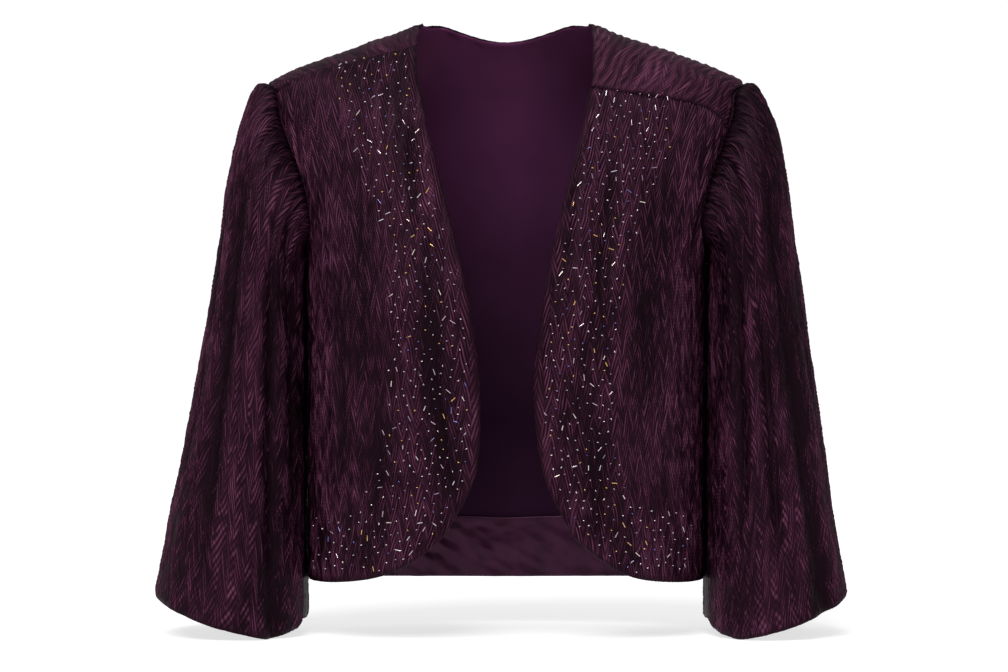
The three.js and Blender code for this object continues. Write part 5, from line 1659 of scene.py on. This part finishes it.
def bead_glass():
    material, tree, shader = nodes_of("silver_lined_glass")
    colour = tree.nodes.new("ShaderNodeAttribute")
    colour.attribute_name = "bead_colour"
    coordinates = tree.nodes.new("ShaderNodeTexCoord")
    noise = tree.nodes.new("ShaderNodeTexNoise")
    noise.inputs["Scale"].default_value = 900
    tree.links.new(coordinates.outputs["Object"], noise.inputs["Vector"])
    cloudy = ramp(tree, noise.outputs["Fac"], [(0.3, (0.8, 0.8, 0.82)), (0.7, (1, 1, 1))])
    tree.links.new(mixed(tree, "MULTIPLY", 1, colour.outputs["Color"], cloudy), shader.inputs["Base Color"])
    shader.inputs["Metallic"].default_value = 0.55
    shader.inputs["Roughness"].default_value = 0.16
    shader.inputs["Coat Weight"].default_value = 0.6
    return material


# %% [markdown]
# ### One bead on each point
# The tree makes a seed bead as a thin ring of glass and a bugle as a six-sided tube. Points
# with no tube length take a ring, the others a tube stretched to their length.

# %% The bead tree
BEAD_INPUTS = (("Ring radius", 0.00054), ("Ring wall", 0.00040), ("Tube radius", 0.00040))
SHORTEST_TUBE = 0.001


def bead_tree(glass):
    tree = bpy.data.node_groups.new("sewn_beads", "GeometryNodeTree")
    face = tree.interface
    face.new_socket("Geometry", in_out="INPUT", socket_type="NodeSocketGeometry")
    sizes = {}
    for name, value in BEAD_INPUTS:
        socket = face.new_socket(name, in_out="INPUT", socket_type="NodeSocketFloat")
        socket.default_value = value
        sizes[name] = socket
    face.new_socket("Geometry", in_out="OUTPUT", socket_type="NodeSocketGeometry")
    add, link = tree.nodes.new, tree.links.new
    group_in, group_out = add("NodeGroupInput"), add("NodeGroupOutput")

    def circle(radius_name, steps):
        node = add("GeometryNodeCurvePrimitiveCircle")
        node.inputs["Resolution"].default_value = steps
        link(group_in.outputs[radius_name], node.inputs["Radius"])
        return node.outputs["Curve"]

    def swept(path, profile, caps):
        node = add("GeometryNodeCurveToMesh")
        node.inputs["Fill Caps"].default_value = caps
        link(path, node.inputs["Curve"])
        link(profile, node.inputs["Profile Curve"])
        return node.outputs["Mesh"]

    def stored(name, kind):
        node = add("GeometryNodeInputNamedAttribute")
        node.data_type = kind
        node.inputs["Name"].default_value = name
        return node.outputs["Attribute"]

    line = add("GeometryNodeCurvePrimitiveLine")
    line.inputs["Start"].default_value = (0, 0, -0.5)
    line.inputs["End"].default_value = (0, 0, 0.5)
    is_tube = add("FunctionNodeCompare")
    is_tube.operation = "GREATER_THAN"
    is_tube.inputs["B"].default_value = SHORTEST_TUBE
    link(stored("tube_length", "FLOAT"), is_tube.inputs["A"])
    is_ring = add("FunctionNodeBooleanMath")
    is_ring.operation = "NOT"
    link(is_tube.outputs["Result"], is_ring.inputs[0])
    tube_scale = add("ShaderNodeCombineXYZ")
    tube_scale.inputs["X"].default_value = 1
    tube_scale.inputs["Y"].default_value = 1
    link(stored("tube_length", "FLOAT"), tube_scale.inputs["Z"])

    def placed(shape, chosen, scale):
        node = add("GeometryNodeInstanceOnPoints")
        link(group_in.outputs["Geometry"], node.inputs["Points"])
        link(shape, node.inputs["Instance"])
        link(chosen, node.inputs["Selection"])
        link(stored("turn", "FLOAT_VECTOR"), node.inputs["Rotation"])
        link(scale, node.inputs["Scale"])
        return node.outputs["Instances"]

    ring = swept(circle("Ring radius", 8), circle("Ring wall", 5), False)
    tube = swept(line.outputs["Curve"], circle("Tube radius", 6), True)
    join = add("GeometryNodeJoinGeometry")
    link(placed(ring, is_ring.outputs["Boolean"], stored("size", "FLOAT")), join.inputs["Geometry"])
    link(placed(tube, is_tube.outputs["Result"], tube_scale.outputs["Vector"]), join.inputs["Geometry"])
    realize, finish = add("GeometryNodeRealizeInstances"), add("GeometryNodeSetMaterial")
    finish.inputs["Material"].default_value = glass
    link(join.outputs["Geometry"], realize.inputs["Geometry"])
    link(realize.outputs["Geometry"], finish.inputs["Geometry"])
    link(finish.outputs["Geometry"], group_out.inputs["Geometry"])
    return tree, sizes


# %% Beads on both fronts
BEAD_SEEDS = {"right": 5, "left": 8}


def make_beads(side, seed, tree, sizes):
    cloud = bead_points(side, seed)
    modifier = cloud.modifiers.new("beads", "NODES")
    modifier.node_group = tree
    for socket in sizes.values():
        modifier[socket.identifier] = socket.default_value
    graph = bpy.context.evaluated_depsgraph_get()
    mesh = bpy.data.meshes.new_from_object(cloud.evaluated_get(graph))
    bpy.data.objects.remove(cloud)
    made = new_object("beads_" + side, mesh)
    mesh.polygons.foreach_set("use_smooth", np.ones(len(mesh.polygons), bool))
    print(made.name, len(mesh.polygons), "faces")
    return made


GLASS = bead_glass()
tree, sizes = bead_tree(GLASS)
beads = {side: make_beads(side, seed, tree, sizes) for side, seed in BEAD_SEEDS.items()}

# %% [markdown]
# ## Every piece on the frame
# Each piece rides on the one body and stands for its solid, which is hidden.

# %% Frame


def cloth_piece(made, node):
    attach(made, "root")
    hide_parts(node)


for side in SIDES:
    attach(beads[side], "root")
cloth_piece(back_cloth, "back")
cloth_piece(back_lining, "back_lining")
cloth_piece(hem_facing, "hem_facing")
for side in SIDES:
    cloth_piece(fronts[side][0], "front_" + side)
    cloth_piece(sleeves[side], "sleeve_" + side)
